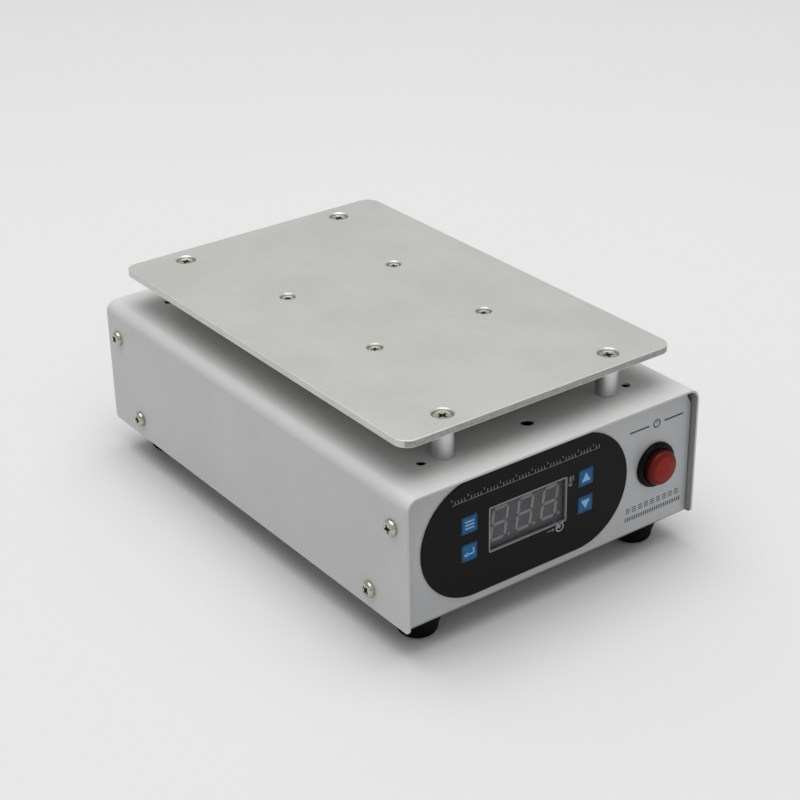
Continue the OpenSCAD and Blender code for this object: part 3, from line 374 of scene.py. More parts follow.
# Nickel-plated steel: bright and slightly warm, with small soft dents from the barrel plating.
NICKEL_PLATE = Finish("nickel_plated_steel", "#CBC7BA", "#A9A496", 0.24, 1.0, mottle_mm=1.6,
                      relief_mm=0.006, spread=0.07)
# The screws' cross recesses: painted shade, dark so that they read.
RECESS_PAINTED_SHADE = Finish("cross_recess_painted_shade", "#4A4740", "#35332E", 0.5, 0.8, mottle_mm=0.8, grain_mm=0.3,
                     relief_mm=0.006, spread=0.06)
# Drawn spring wire: dark bright steel with fine lines.
SPRING_STEEL = Finish("drawn_spring_wire", "#A4A6A8", "#86888A", 0.28, 1.0, mottle_mm=2,
                      grain_mm=0.2, relief_mm=0.002)
# Tin-plated brass contacts: bright, a little yellow where the plating is thin.
CONTACT_BRASS = Finish("plated_brass", "#CDBB8A", "#B7A679", 0.24, 1.0, mottle_mm=1.5,
                       grain_mm=0.3, relief_mm=0.002)
# Screen-printed polyester film with a silver-blue ink: fine metallic grit under a satin skin.
SILVER_FILM = Finish("silver_printed_film", "#B1B3B5", "#ABADAF", 0.42, 0.35, mottle_mm=30,
                     grain_mm=0.35, relief_mm=0.003,
                     shader=(("Coat Weight", 0.15), ("Coat Roughness", 0.35)))
# Black printed polyester film: deep, even black with a satin skin.
BLACK_FILM = Finish("black_printed_film", "#070708", "#09090A", 0.42, mottle_mm=25, grain_mm=0.6,
                    relief_mm=0.003, spread=0.04, specular=0.12)
# Blue translucent film over the keys: saturated, softly glossy.
KEY_FILM = Finish("blue_key_film", "#0F5C8E", "#0B4F7E", 0.33, mottle_mm=3, relief_mm=0.003,
                  spread=0.04, specular=0.2)
# The keys' outer band, where the film is drawn down: a darker blue, painted shade round the pillow.
KEY_BAND_SHADE = replace(KEY_FILM, name="key_band_painted_shade", colour="#0E3A5A", tint="#0B3049",
                   roughness=0.36, specular=0.25)
# Pale blue ink of the keys' symbols.
ICON_INK = Finish("pale_blue_ink", "#86AED4", "#78A2CA", 0.5, mottle_mm=1, grain_mm=0.3,
                  relief_mm=0.002)
# Pale ink of the line round the display window and of the lamp's ring.
PALE_INK = Finish("pale_grey_ink", "#979D9D", "#8C9292", 0.5, mottle_mm=0.8, grain_mm=0.25,
                  relief_mm=0.002)
# Mid grey ink of the striped squares on the silver film.
MID_INK = replace(PALE_INK, name="mid_grey_ink", colour="#5E6265", tint="#54585B")
# Grey ink of the fine marks on the black film: thin, so the black shows through a little.
GREY_INK = replace(PALE_INK, name="grey_ink", colour="#7C7E80", tint="#626466", roughness=0.55)
# Dark ink of the marks on the silver film.
DARK_INK = replace(PALE_INK, name="dark_ink", colour="#2A2B2E", tint="#3A3B3E")
# Clear polyester pane over the display: almost nothing but its gloss.
CLEAR_PANE = Finish("clear_polyester_pane", "#3A3A3C", "#363638", 0.14, mottle_mm=8, grain_mm=1.2,
                    relief_mm=0.001, spread=0.02, shader=(("Alpha", 0.14),))
# Moulded ABS with a fine spark-eroded texture: near black with a soft sheen.
MOULDED_ABS = Finish("moulded_abs", "#151516", "#1B1B1D", 0.46, mottle_mm=6, grain_mm=0.35,
                     relief_mm=0.008, spread=0.06, specular=0.3)
# Polished black nylon of the button's ring: smooth and dark, with a faint sharp gloss.
POLISHED_NYLON = Finish("polished_nylon", "#080708", "#0B0A0B", 0.28, mottle_mm=6, grain_mm=0.8,
                        relief_mm=0.003, specular=0.09)
# Red polycarbonate cap: deep red, smooth, slightly translucent.
RED_CAP = Finish("red_polycarbonate", "#8A1A11", "#7E150D", 0.32, mottle_mm=5, grain_mm=0.7,
                 relief_mm=0.004, specular=0.16)
# The cap's rounded shoulder: a deeper red, painted shade where the face turns away.
RED_SHOULDER_SHADE = replace(RED_CAP, name="red_cap_shoulder_painted_shade", colour="#66140D",
                       tint="#5C110A", roughness=0.34, specular=0.14)
# The cap's flank: a dark red, painted shade on the cap's side.
RED_FLANK_SHADE = replace(RED_CAP, name="red_cap_flank_painted_shade", colour="#340B08", tint="#2D0906",
                    roughness=0.36, specular=0.12)
# Grey epoxy face of the digit module: cast, matt and even.
MODULE_FACE = Finish("grey_epoxy_face", "#606062", "#59595B", 0.5, mottle_mm=5, grain_mm=0.4,
                     relief_mm=0.004)
# Frosted light guides of the unlit digits: pale grey, with a little light inside.
LIGHT_GUIDE = Finish("frosted_light_guide", "#9E9EA0", "#959597", 0.45, mottle_mm=1.5,
                     grain_mm=0.3, relief_mm=0.003,
                     shader=(("Subsurface Weight", 0.2), ("Subsurface Scale", 0.0005)))
# Frosted lens of the output lamp: pale green-grey, half clear.
LAMP_LENS = Finish("frosted_lens", "#A9B5B0", "#98A49F", 0.28, mottle_mm=1, grain_mm=0.3,
                   relief_mm=0.003, shader=(("Transmission Weight", 0.35),))
# Glass-cloth laminate under green solder mask: the weave shows faintly through the gloss.
BOARD_LAMINATE = Finish("solder_masked_laminate", "#1D5A34", "#174C2B", 0.32, mottle_mm=12,
                        grain_mm=0.7, relief_mm=0.006, grain=Grain.WOVEN)
# Stack of silicon-steel laminations: thin dark lines between the sheets.
LAMINATED_CORE = StripedFinish("laminated_steel_core", "#6D6F71", "#3F4042", 0.45, 0.8,
                               grain_mm=0.6, relief_mm=0.006, pitch_mm=0.7,
                               across=(0.0, 1.0, 0.0), width=0.3)
# Yellow polyester tape wound round the coil: its edges show as faint steps.
WINDING_TAPE = StripedFinish("winding_tape", "#D2A53A", "#C2962F", 0.35, grain_mm=1.5,
                             pitch_mm=2.6, across=(0.0, 0.2, 1.0), width=0.12)
# Shrunk PVC sleeve of the capacitors: dark blue and softly glossy.
CAPACITOR_SLEEVE = Finish("shrunk_pvc_sleeve", "#1F2C4E", "#26355C", 0.3, mottle_mm=4,
                          grain_mm=0.8, relief_mm=0.006)
# Moulded green polyamide of the terminals: satin, with a fine mould texture.
TERMINAL_GREEN = Finish("moulded_polyamide", "#2C7A4B", "#276E43", 0.44, mottle_mm=4,
                        grain_mm=0.4, relief_mm=0.006)
# Mica heater: pressed flakes with a silky, mottled brown-grey face.
MICA_SHEET = Finish("pressed_mica", "#9C8B6E", "#7D6D52", 0.36, mottle_mm=3, grain_mm=1.4,
                    relief_mm=0.012, spread=0.12, grain=Grain.SPANGLED)
# Needled ceramic fibre mat: off-white, soft and fuzzy.
FIBRE_MAT = Finish("ceramic_fibre_mat", "#DDD8CC", "#C9C2B2", 0.92, mottle_mm=5, grain_mm=0.9,
                   relief_mm=0.12, spread=0.04, stretch=(1.0, 3.0, 1.0),
                   shader=(("Sheen Weight", 0.4), ("Sheen Roughness", 0.5)))
# Moulded black rubber: matt, with a faint bloom.
BLACK_RUBBER = Finish("moulded_rubber", "#060707", "#090A0A", 0.68, mottle_mm=7, grain_mm=0.4,
                      relief_mm=0.012, spread=0.06, specular=0.08)
# Braided glass-fibre sleeve: off-white with a crossing weave.
BRAIDED_SLEEVE = Finish("braided_glass_sleeve", "#DAD6CA", "#BDB8A9", 0.7, mottle_mm=2,
                        grain_mm=0.55, relief_mm=0.06, grain=Grain.WOVEN)
# Flat ribbon cable: grey ribs at the 1.27 mm pitch of its wires.
RIBBON_CABLE = StripedFinish("ribbon_cable", "#B5B6B8", "#8E9092", 0.42, grain_mm=0.6,
                             relief_mm=0.004, pitch_mm=1.27, width=0.22)
# Extruded PVC of the mains leads: smooth, softly glossy, in the colours of mains wiring.
BROWN_PVC = Finish("brown_pvc", "#5A3520", "#4F2E1B", 0.36, mottle_mm=5, grain_mm=0.8,
                   relief_mm=0.004)
BLUE_PVC = replace(BROWN_PVC, name="blue_pvc", colour="#2C5FA3", tint="#275593")
EARTH_PVC = StripedFinish("green_yellow_pvc", "#3E8B3B", "#D3C235", 0.36, grain_mm=0.8,
                          relief_mm=0.004, pitch_mm=3.2, across=(0.5, 0.6, 0.6), width=0.4)
# Fuse glass between nickel caps, told apart by stripes as long as a cap and the glass.
FUSE_GLASS = StripedFinish("fuse_glass_and_caps", "#C9C6BC", "#8C9291", 0.15, 0.6, grain_mm=0.6,
                           relief_mm=0.002, pitch_mm=20.0, across=(0.0, 1.0, 0.0))
# Painted studio floor: pale, matt and seamless.
STUDIO_FLOOR = Finish("matt_studio_floor", "#CECECE", "#CCCCCC", 0.85, mottle_mm=900, grain_mm=3,
                      relief_mm=0.02, spread=0.02)


def pick(obj: bpy.types.Object | None) -> None:
    """Leaves edit mode and selects one object alone.

    Args:
        obj: The object, or None to leave nothing selected.
    """
    if bpy.context.object and bpy.context.object.mode != "OBJECT":
        bpy.ops.object.mode_set(mode="OBJECT")
    bpy.ops.object.select_all(action="DESELECT")
    if obj:
        obj.select_set(True)
        bpy.context.view_layer.objects.active = obj


class Blank:
    """A mesh on its way from a primitive to a finished piece, shaped with edit-mode tools.

    Attributes:
        COIL_STEPS: Steps of each turn of a coil.
        WIRE_SIDES: Sides of a coil's wire.
        EASED_ANGLE: Least angle, in radians, of an edge that counts as sharp.
    """

    COIL_STEPS: ClassVar[int] = 28
    WIRE_SIDES: ClassVar[int] = 10
    EASED_ANGLE: ClassVar[float] = math.radians(50)

    def __init__(self, name: str) -> None:
        """Takes over the primitive just added and puts its place into its mesh.

        Args:
            name: Name of the piece.
        """
        self.obj = bpy.context.object
        self.obj.name = self.obj.data.name = name
        bpy.ops.object.transform_apply(location=True, rotation=True, scale=True)

    @classmethod
    def block(cls, name: str, low: Place, high: Place, turn: Place = UNTURNED) -> "Blank":
        """Starts from a block between two corners.

        Args:
            name: Name of the piece.
            low: Lowest corner.
            high: Highest corner.
            turn: Rotation about its middle in degrees, about X, Y and Z.

        Returns:
            The new blank.
        """
        pick(None)
        centre = [(a + b) / 2 * MM for a, b in zip(low, high)]
        size = [(b - a) * MM for a, b in zip(low, high)]
        bpy.ops.mesh.primitive_cube_add(size=1, location=centre, scale=size,
                                        rotation=[math.radians(t) for t in turn])
        return cls(name)

    @classmethod
    def rod(cls, name: str, base: Place, radius: float, height: float, sides: int = 48,
            turn: Place = UNTURNED) -> "Blank":
        """Starts from a rod that stands on a point and rises along Z before it is turned.

        Args:
            name: Name of the piece.
            base: Middle of the lower end.
            radius: Radius of the rod.
            height: Height of the rod.
            sides: Number of flat sides.
            turn: Rotation about the base in degrees, about X, Y and Z.

        Returns:
            The new blank.
        """
        pick(None)
        angles = Euler([math.radians(t) for t in turn])
        centre = mm(*base) + angles.to_matrix() @ mm(0, 0, height / 2)
        bpy.ops.mesh.primitive_cylinder_add(vertices=sides, radius=radius * MM, depth=height * MM,
                                            location=centre, rotation=angles)
        return cls(name)

    @classmethod
    def coil(cls, name: str, radius: float, wire_r: float, length: float, turns: int) -> "Blank":
        """Winds a coil of wire about Z, from the origin up.

        Args:
            name: Name of the piece.
            radius: Mean radius of the coil.
            wire_r: Radius of the wire.
            length: Length over the outside of the wire.
            turns: Number of turns.

        Returns:
            The new blank.
        """
        pick(None)
        bpy.ops.mesh.primitive_circle_add(vertices=cls.WIRE_SIDES, radius=wire_r * MM,
                                          location=mm(radius, 0, wire_r),
                                          rotation=(math.pi / 2, 0, 0))
        coil = cls(name)
        coil.apply("SCREW", axis="Z", iterations=turns, steps=cls.COIL_STEPS,
                   render_steps=cls.COIL_STEPS, use_smooth_shade=True,
                   screw_offset=(length - 2 * wire_r) / turns * MM)
        coil.edges(lambda a, b: True)
        bpy.ops.mesh.remove_doubles(threshold=1e-6)
        bpy.ops.mesh.fill_holes(sides=0)
        bpy.ops.mesh.normals_make_consistent(inside=False)
        return coil

    def set_down(self, place: Place, turn: Place = UNTURNED) -> "Blank":
        """Turns the piece about the origin and moves it to its place.

        Args:
            place: Where the origin goes.
            turn: Rotation in degrees, about X, Y and Z.

        Returns:
            This blank.
        """
        pick(self.obj)
        self.obj.rotation_euler = [math.radians(t) for t in turn]
        self.obj.location = mm(*place)
        bpy.ops.object.transform_apply(location=True, rotation=True, scale=True)
        return self

    def _select(self, kind: str, passes: Callable[[Element], bool]) -> "Blank":
        """Opens edit mode and selects the faces or edges that pass a test, and nothing else.

        Args:
            kind: What is selected, "FACE" or "EDGE".
            passes: Test on a face or an edge.

        Returns:
            This blank.
        """
        pick(self.obj)
        bpy.ops.object.mode_set(mode="EDIT")
        bpy.ops.mesh.select_mode(type=kind)
        bpy.ops.mesh.select_all(action="DESELECT")
        mesh = bmesh.from_edit_mesh(self.obj.data)
        for item in mesh.faces if kind == "FACE" else mesh.edges:
            if passes(item):
                item.select_set(True)
        bmesh.update_edit_mesh(self.obj.data)
        return self

    def faces(self, where: Test) -> "Blank":
        """Selects the faces whose middle, in mm, and normal pass a test."""
        return self._select("FACE", lambda f: where(f.calc_center_median() / MM, f.normal))

    def edges(self, where: Test) -> "Blank":
        """Selects the edges whose two ends, in mm, pass a test."""
        return self._select("EDGE", lambda e: where(e.verts[0].co / MM, e.verts[1].co / MM))

    def extrude(self, offset: Place) -> "Blank":
        """Extrudes the selected faces by an offset."""
        bpy.ops.mesh.extrude_region_move(TRANSFORM_OT_translate={"value": mm(*offset)})
        return self

    def move(self, offset: Place) -> "Blank":
        """Moves what is selected."""
        bpy.ops.transform.translate(value=mm(*offset))
        return self

    def resize(self, factors: Place, centre: Place) -> "Blank":
        """Scales what is selected about a point."""
        bpy.ops.transform.resize(value=factors, center_override=mm(*centre))
        return self

    def inset(self, width: float) -> "Blank":
        """Insets the selected faces, which leaves the inner ones selected."""
        bpy.ops.mesh.inset(thickness=width * MM, use_even_offset=True)
        return self

    def bevel(self, width: float, segments: int = 3) -> "Blank":
        """Rounds the selected edges."""
        bpy.ops.mesh.bevel(offset=width * MM, offset_type="OFFSET", segments=segments, profile=0.5,
                           affect="EDGES", clamp_overlap=True)
        return self

    def delete(self) -> "Blank":
        """Deletes the selected faces."""
        bpy.ops.mesh.delete(type="FACE")
        return self

    def apply(self, kind: str, **settings: object) -> "Blank":
        """Adds a modifier, sets it and applies it.

        Args:
            kind: Blender's name of the modifier's type.
            **settings: Its settings by name.

        Returns:
            This blank.
        """
        pick(self.obj)
        modifier = self.obj.modifiers.new(kind.title(), kind)
        for name, value in settings.items():
            setattr(modifier, name, value)
        bpy.ops.object.modifier_apply(modifier=modifier.name)
        return self

    def ease(self, width: float) -> "Blank":
        """Rounds all sharp edges by a little."""
        return self.apply("BEVEL", width=width * MM, segments=2, limit_method="ANGLE",
                          angle_limit=self.EASED_ANGLE)

    def cut(self, *cutters: "Blank") -> "Blank":
        """Takes shapes away from this one.

        Args:
            *cutters: Shapes to take away, which are used up.

        Returns:
            This blank.
        """
        for cutter in cutters:
            self.apply("BOOLEAN", object=cutter.obj, operation="DIFFERENCE", solver="EXACT")
            bpy.data.objects.remove(cutter.obj)
        return self

    def paint(self, main: Finish, others: dict[Finish, Test]) -> "Blank":
        """Gives the piece one finish, and others to the faces that pass their tests.

        Args:
            main: Finish of the whole piece.
            others: Test on a face's middle, in mm, and its normal, by the finish. Later ones win.

        Returns:
            This blank.
        """
        pick(self.obj)
        mesh = self.obj.data
        mesh.materials.append(main.material())
        for index, (finish, where) in enumerate(others.items(), 1):
            mesh.materials.append(finish.material())
            for face in mesh.polygons:
                if where(face.center / MM, face.normal):
                    face.material_index = index
        return self

    def copied(self, places: Iterable[Matrix]) -> "Blank":
        """Copies the shape to each place and joins the copies.

        Args:
            places: Where each copy goes, from where the shape is.

        Returns:
            This blank, now made of the copies alone.
        """
        pick(self.obj)
        copies = []
        for place in places:
            twin = self.obj.copy()
            twin.data = self.obj.data.copy()
            bpy.context.scene.collection.objects.link(twin)
            twin.data.transform(place)
            copies.append(twin)
        name = self.obj.name
        bpy.data.objects.remove(self.obj)
        return self._joined(copies, name)

    def joined(self, *others: "Blank") -> "Blank":
        """Joins other shapes to this one as loose parts of one mesh."""
        return self._joined([self.obj, *[o.obj for o in others]], self.obj.name)

    def _joined(self, objects: list[bpy.types.Object], name: str) -> "Blank":
        """Joins objects into the first of them.

        Args:
            objects: What is joined.
            name: Name of the result.

        Returns:
            This blank, which then holds the result.
        """
        pick(objects[0])
        for obj in objects:
            obj.select_set(True)
        if len(objects) > 1:
            bpy.ops.object.join()
        self.obj = objects[0]
        self.obj.name = self.obj.data.name = name
        return self

    def install(self, body: str, finish: Finish, slot: str, replaces: Sequence[str] = (),
                smooth: float = 35.0) -> bpy.types.Object:
        """Shades the piece, gives it its finish and fixes it to its body.

        Args:
            body: CAD body that it rides on.
            finish: Finish of the whole piece, unless it is painted.
            slot: The record's material slot; not used.
            replaces: CAD nodes that it stands for.
            smooth: Angle in degrees up to which edges are shaded smooth.

        Returns:
            The finished object.
        """
        pick(self.obj)
        bpy.ops.object.shade_smooth_by_angle(angle=math.radians(smooth))
        self.apply("WEIGHTED_NORMAL", keep_sharp=True, weight=100)
        if not self.obj.data.materials:
            self.obj.data.materials.append(finish.material())
        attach(self.obj, body)
        if replaces:
            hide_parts(*replaces)
        LOG.info("%s: %d faces, %s", self.obj.name, len(self.obj.data.polygons), finish.name)
        return self.obj


class Head(Enum):
    """Forms of screw head."""

    COUNTERSUNK = "countersunk"
    PAN = "pan"


@dataclass
class CrossScrew:
    """A cross-recessed machine screw whose head is at the origin and whose shank points down.

    A countersunk head has its flat top at the origin, and a pan head its seat.

    Attributes:
        head: Form of the head.
        shank_r: Radius of the shank.
        head_r: Radius of the head.
        head_h: Height of the head.
        length: Distance from the origin to the tip.
        land: Height of the upright edge of a countersunk head.
        edge: Rounding of that edge.
        dome: Rounding of a pan head, as a share of its height.
        tip: Height of the chamfer at the tip.
        tip_share: Radius of the tip's end, as a share of the shank's.
        span: Reach of the cross over the head, as a share of the head's radius.
        arm: Width of the cross's arms, as a share of its reach.
        deep: Depth of the cross, as a share of the head's radius.
        pit_r: Radius of the pit in its middle at its foot, as a share of the head's radius.
        pit_flare: How many times wider the pit is at the top.
        pit_deep: Depth of the pit, as a share of the head's radius.
        recess_shade: Reach and depth of the painted shade in the recess, as a share of the head's
            radius.
        unshaded_top: Height below the head's top that the painted shade leaves out.
        over: How far the recess's cutter stands above the head.
    """

    head: Head
    shank_r: float
    head_r: float
    head_h: float
    length: float
    land: float = 0.3
    edge: float = 0.22
    dome: float = 0.72
    tip: float = 0.4
    tip_share: float = 0.8
    span: float = 1.16
    arm: float = 0.23
    deep: float = 0.46
    pit_r: float = 0.08
    pit_flare: float = 5.0
    pit_deep: float = 0.5
    recess_shade: float = 0.62
    unshaded_top: float = 0.1
    over: float = 0.3

    def model(self, name: str) -> Blank:
        """Models the screw with its recess.

        Args:
            name: Name of the piece.

        Returns:
            The screw.
        """
        flat = self.head is Head.COUNTERSUNK
        top, seat, foot = (0.0, -self.head_h, -self.land) if flat else (self.head_h, 0.0, 0.0)
        screw = Blank.rod(name, (0, 0, foot), self.head_r, top - foot, 40).faces(facing(DOWN))
        if flat:
            shrink = self.shank_r / self.head_r
            screw.extrude((0, 0, seat - foot)).resize((shrink, shrink, 1), (0, 0, seat))
        else:
            screw.inset(self.head_r - self.shank_r)
        screw.extrude((0, 0, self.tip - self.length - seat)).extrude((0, 0, -self.tip))
        screw.resize((self.tip_share, self.tip_share, 1), (0, 0, -self.length))
        screw.edges(lambda a, b: min(a.z, b.z) > top - TOUCH)
        if flat:
            screw.bevel(self.edge, segments=3)
        else:
            screw.bevel(self.head_h * self.dome, segments=7)
        reach = self.head_r * self.span
        for size_x, size_y in ((reach, self.arm * reach), (self.arm * reach, reach)):
            screw.cut(self._wing(size_x, size_y, top))
        screw.cut(self._pit(top))
        # The cross recess gets painted shade.
        recess_shade = self.head_r * self.recess_shade
        return screw.paint(NICKEL_PLATE, {RECESS_PAINTED_SHADE: lambda c, n: (
            math.hypot(c.x, c.y) < recess_shade and top - recess_shade < c.z < top - self.unshaded_top)})

    def _wing(self, size_x: float, size_y: float, top: float) -> Blank:
        """Models the cutter of one arm of the cross, narrower at its foot.

        Args:
            size_x: Width along X.
            size_y: Width along Y.
            top: Height of the head's top.

        Returns:
            The cutter.
        """
        foot = top - self.head_r * self.deep
        wing = Blank.block("wing", (-size_x / 2, -size_y / 2, foot),
                           (size_x / 2, size_y / 2, top + self.over))
        lengthwise, crosswise = 0.5, 0.8
        factors = (lengthwise, crosswise) if size_x > size_y else (crosswise, lengthwise)
        return wing.faces(facing(DOWN)).resize((*factors, 1), (0, 0, foot))

    def _pit(self, top: float) -> Blank:
        """Models the cutter of the round pit in the middle of the cross.

        Args:
            top: Height of the head's top.

        Returns:
            The cutter.
        """
        lead = 0.1
        pit = Blank.rod("pit", (0, 0, top - self.head_r * self.pit_deep),
                        self.head_r * self.pit_r, lead, 16)
        pit.faces(facing(UP)).extrude((0, 0, self.head_r * (self.pit_deep + lead)))
        return pit.resize((self.pit_flare, self.pit_flare, 1), (0, 0, top))


def hex_nut(name: str, thread_r: float, height: float) -> Blank:
    """Models a hexagon nut with chamfered corners, standing on the origin.

    Args:
        name: Name of the piece.
        thread_r: Radius of its thread.
        height: Height of the nut.

    Returns:
        The nut.
    """
    corner_share, chamfer, play = 2.1, 0.18, 0.05
    nut = Blank.rod(name, (0, 0, 0), thread_r * corner_share, height, 6)
    nut.edges(across(Z)).bevel(chamfer, segments=2)
    return nut.cut(Blank.rod("thread", (0, 0, -PAST), thread_r + play, height + 2 * PAST, 24))


@dataclass
class SubAssembly:
    """A group of pieces, some modelled here and the rest left in their CAD shapes.

    Attributes:
        dressed: CAD nodes that keep their shape, by the finish that they get.
    """

    dressed: ClassVar[dict[Finish, tuple[str, ...]]] = {}

    def model(self) -> None:
        """Models the group's own pieces, where it has any."""

    def build(self) -> None:
        """Models the group's own pieces and gives its CAD nodes their finishes."""
        self.model()
        for finish, nodes in self.dressed.items():
            for name in nodes:
                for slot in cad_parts[name].material_slots:
                    slot.material = finish.material()
                LOG.info("%s: CAD shape, %s", name, finish.name)


@dataclass
class ChassisTray(SubAssembly):
    """The folded tray under the cover, with its feet and their fasteners."""

    dressed = {
        ZINC_SHEET: ("chassis_tray",),
        BLACK_RUBBER: ("rubber_feet", "wire_grommet"),
        NICKEL_PLATE: ("foot_fasteners", "earth_stud"),
    }


@dataclass
class CaseCover(SubAssembly):
    """The U-shaped cover of folded sheet with its holes, and the screws in its sides.

    Attributes:
        width: Outside width.
        length: Length, front edge to back edge.
        low: Height of the lower edges above the floor.
        high: Height of the top above the floor.
        sheet: Sheet thickness.
        bend_r: Outside radius of the two bends.
        corner_r: Rounding of the side walls' lower corners.
        edge: Rounding of the sheet's cut edges, softened by the coat.
        plate_y: Middle of the standoffs along Y.
        row_y: Distance of each row of holes from that middle.
        holes: Distance from the middle line and radius of each hole in a row.
        grommet: Place and radius of the hole for the leads.
        upper_screw: Distance from the middle along Y, and height, of the upper side screws.
        lower_screw: The same for the lower side screws.
        screw_hole_r: Radius of the holes for the side screws.
        screw: One side screw.
        turns: How far the upper and the lower screw are turned, in front and at the back.
        inner_shade_depth: Depth from an outer face, as a share of the sheet, past which a face is
            inside and gets painted shade.
    """

    width: float = 142.0
    length: float = 217.0
    low: float = 13.0
    high: float = 69.0
    sheet: float = 1.0
    bend_r: float = 5.0
    corner_r: float = 2.0
    edge: float = 0.12
    plate_y: float = 1.0
    row_y: float = 90.0
    holes: tuple[Pair, ...] = ((-50.0, 1.9), (0.0, 2.6), (50.0, 1.9), (-40.0, 2.2), (40.0, 2.2))
    grommet: tuple[float, float, float] = (20.0, 81.5, 5.0)
    upper_screw: Pair = (99.5, 54.7)
    lower_screw: Pair = (85.0, 21.4)
    screw_hole_r: float = 1.8
    screw: CrossScrew = field(default_factory=lambda: CrossScrew(Head.PAN, 1.6, 3.3, 2.2, 7.0))
    turns: tuple[Pair, Pair] = ((20, 53), (55, 88))
    inner_shade_depth: float = 0.8

    def shell(self) -> None:
        """Folds the sheet, drills it, eases its edges and coats it."""
        half_w, half_l = self.width / 2, self.length / 2
        cover = Blank.block("folded_cover", (-half_w, -half_l, self.low),
                            (half_w, half_l, self.high))
        cover.faces(lambda c, n: n.z < -STRAIGHT or abs(n.y) > STRAIGHT).delete()
        cover.edges(lambda a, b: min(a.z, b.z) > self.high - TOUCH and across(X)(a, b))
        cover.bevel(self.bend_r, segments=12)
        cover.apply("SOLIDIFY", thickness=self.sheet * MM, offset=-1.0, use_even_offset=True)
        cover.edges(lambda a, b: max(a.z, b.z) < self.low + TOUCH and across(Y)(a, b)
                    and abs(abs(a.y) - half_l) < TOUCH)
        cover.bevel(self.corner_r, segments=6)
        drills = self._drills()
        cover.cut(drills[0].joined(*drills[1:])).ease(self.edge)
        rim = self.inner_shade_depth * self.sheet
        # The inside lies deeper than that from the outer faces and looks to the middle or down; it
        # gets painted shade.
        cover.paint(POWDER_COAT, {INNER_PAINTED_SHADE: lambda c, n: (
            abs(c.x) < half_w - rim and c.z < self.high - rim and (n.x * c.x < -1 or n.z < -0.1))})
        cover.install("case", POWDER_COAT, "powder_coat", ["cover"])

    def _drills(self) -> list[Blank]:
        """Models the cutters of all holes.

        Returns:
            The cutters.
        """
        deep = self.sheet + 2 * PAST
        top = self.high - self.sheet - PAST
        side = self.width / 2 - self.sheet - PAST
        gx, gy, gr = self.grommet
        return [
            *[Blank.rod("drill", (x, self.plate_y + s * self.row_y, top), r, deep, 32)
              for s in (-1, 1) for x, r in self.holes],
            Blank.rod("drill", (gx, gy, top), gr, deep, 40),
            *[Blank.rod("drill", (sx * side, sy * y, z), self.screw_hole_r, deep, 24,
                        (0, 90 * sx, 0))
              for sx in (-1, 1) for sy in (-1, 1) for y, z in (self.upper_screw, self.lower_screw)],
        ]

    def screws(self) -> None:
        """Models the eight side screws."""
        spots = (self.upper_screw, self.lower_screw)
        places = [at((sx * self.width / 2, sy * y, z), (90 * sx, "Y"), (turn, "Z"))
                  for sx in (-1, 1) for sy, turns in zip((-1, 1), self.turns)
                  for (y, z), turn in zip(spots, turns)]
        screws = self.screw.model("side_screws").copied(places)
        screws.install("case", NICKEL_PLATE, "nickel_plate", ["cover_screws"])

    def model(self) -> None:
        """Models the cover and its screws."""
        self.shell()
        self.screws()


@dataclass
class Print:
    """Marks printed on a face of the front panel, each a thin skin of ink.

    Attributes:
        finish: Ink.
        face: Place of the printed face along Y.
        thick: Thickness of the ink on each side of that face.
        marks: What has been drawn so far.
        BAR_END: Rounding of a bar's corners, as a share of half its width.
        CORNER: Rounding of a polygon's corners, as a share of its radius.
        FEW: A disc with fewer sides than this is a polygon with corners.
    """

    finish: Finish
    face: float
    thick: float = 0.02
    marks: list[Blank] = field(default_factory=list)

    BAR_END: ClassVar[float] = 0.6
    CORNER: ClassVar[float] = 0.12
    FEW: ClassVar[int] = 8

    def bar(self, x0: float, z0: float, x1: float, z1: float, width: float,
            soft: bool = True) -> Blank:
        """Draws a straight bar.

        Args:
            x0: Start along X.
            z0: Start along Z.
            x1: End along X.
            z1: End along Z.
            width: Width of the bar.
            soft: Whether its corners are rounded.

        Returns:
            The bar.
        """
        half = math.hypot(x1 - x0, z1 - z0) / 2
        x, z = (x0 + x1) / 2, (z0 + z1) / 2
        turn = math.degrees(math.atan2(z1 - z0, x1 - x0))
        bar = Blank.block("bar", (x - half, self.face - self.thick, z - width / 2),
                          (x + half, self.face + self.thick, z + width / 2), (0, -turn, 0))
        if soft:
            bar.edges(along(Y)).bevel(min(half, width / 2) * self.BAR_END, segments=3)
        self.marks.append(bar)
        return bar

    def disc(self, x: float, z: float, radius: float, sides: int = 28, turn: float = 0.0) -> Blank:
        """Draws a disc, or a polygon with softened corners where the sides are few.

        Args:
            x: Middle along X.
            z: Middle along Z.
            radius: Distance from the middle to a corner.
            sides: Number of sides.
            turn: Turn in the panel's plane, in degrees.

        Returns:
            The disc.
        """
        disc = Blank.rod("disc", (x, self.face + self.thick, z), radius, 2 * self.thick, sides,
                         (90, turn, 0))
        if sides < self.FEW:
            disc.edges(along(Y)).bevel(radius * self.CORNER, segments=3)
        self.marks.append(disc)
        return disc

    def ring(self, x: float, z: float, inner: float, outer: float) -> Blank:
        """Draws a ring between two radii round a point."""
        ring = self.disc(x, z, outer, 40)
        return ring.cut(Blank.rod("bore", (x, self.face + PAST, z), inner, 2 * PAST, 40,
                                  (90, 0, 0)))

    def row(self, mark: Blank, step: float, count: int, every: int = 1) -> None:
        """Repeats a mark along X.

        Args:
            mark: The first mark, already drawn.
            step: Distance between the places of a row.
            count: Number of places.
            every: Keeps the first of each so many places.
        """
        self.marks.remove(mark)
        self.marks.append(mark.copied([at((i * step, 0, 0)) for i in range(0, count, every)]))

    def press(self, name: str, body: str, slot: str) -> None:
        """Joins the marks into one piece and fixes it to a body.

        Args:
            name: Name of the piece.
            body: CAD body that it rides on.
            slot: The record's material slot; not used.
        """
        self.marks[0].obj.name = name
        self.marks[0].joined(*self.marks[1:]).install(body, self.finish, slot)


class Icon(Enum):
    """Symbols of the four keys."""

    MENU = "menu"
    RETURN = "return"
    UP = "up"
    DOWN = "down"


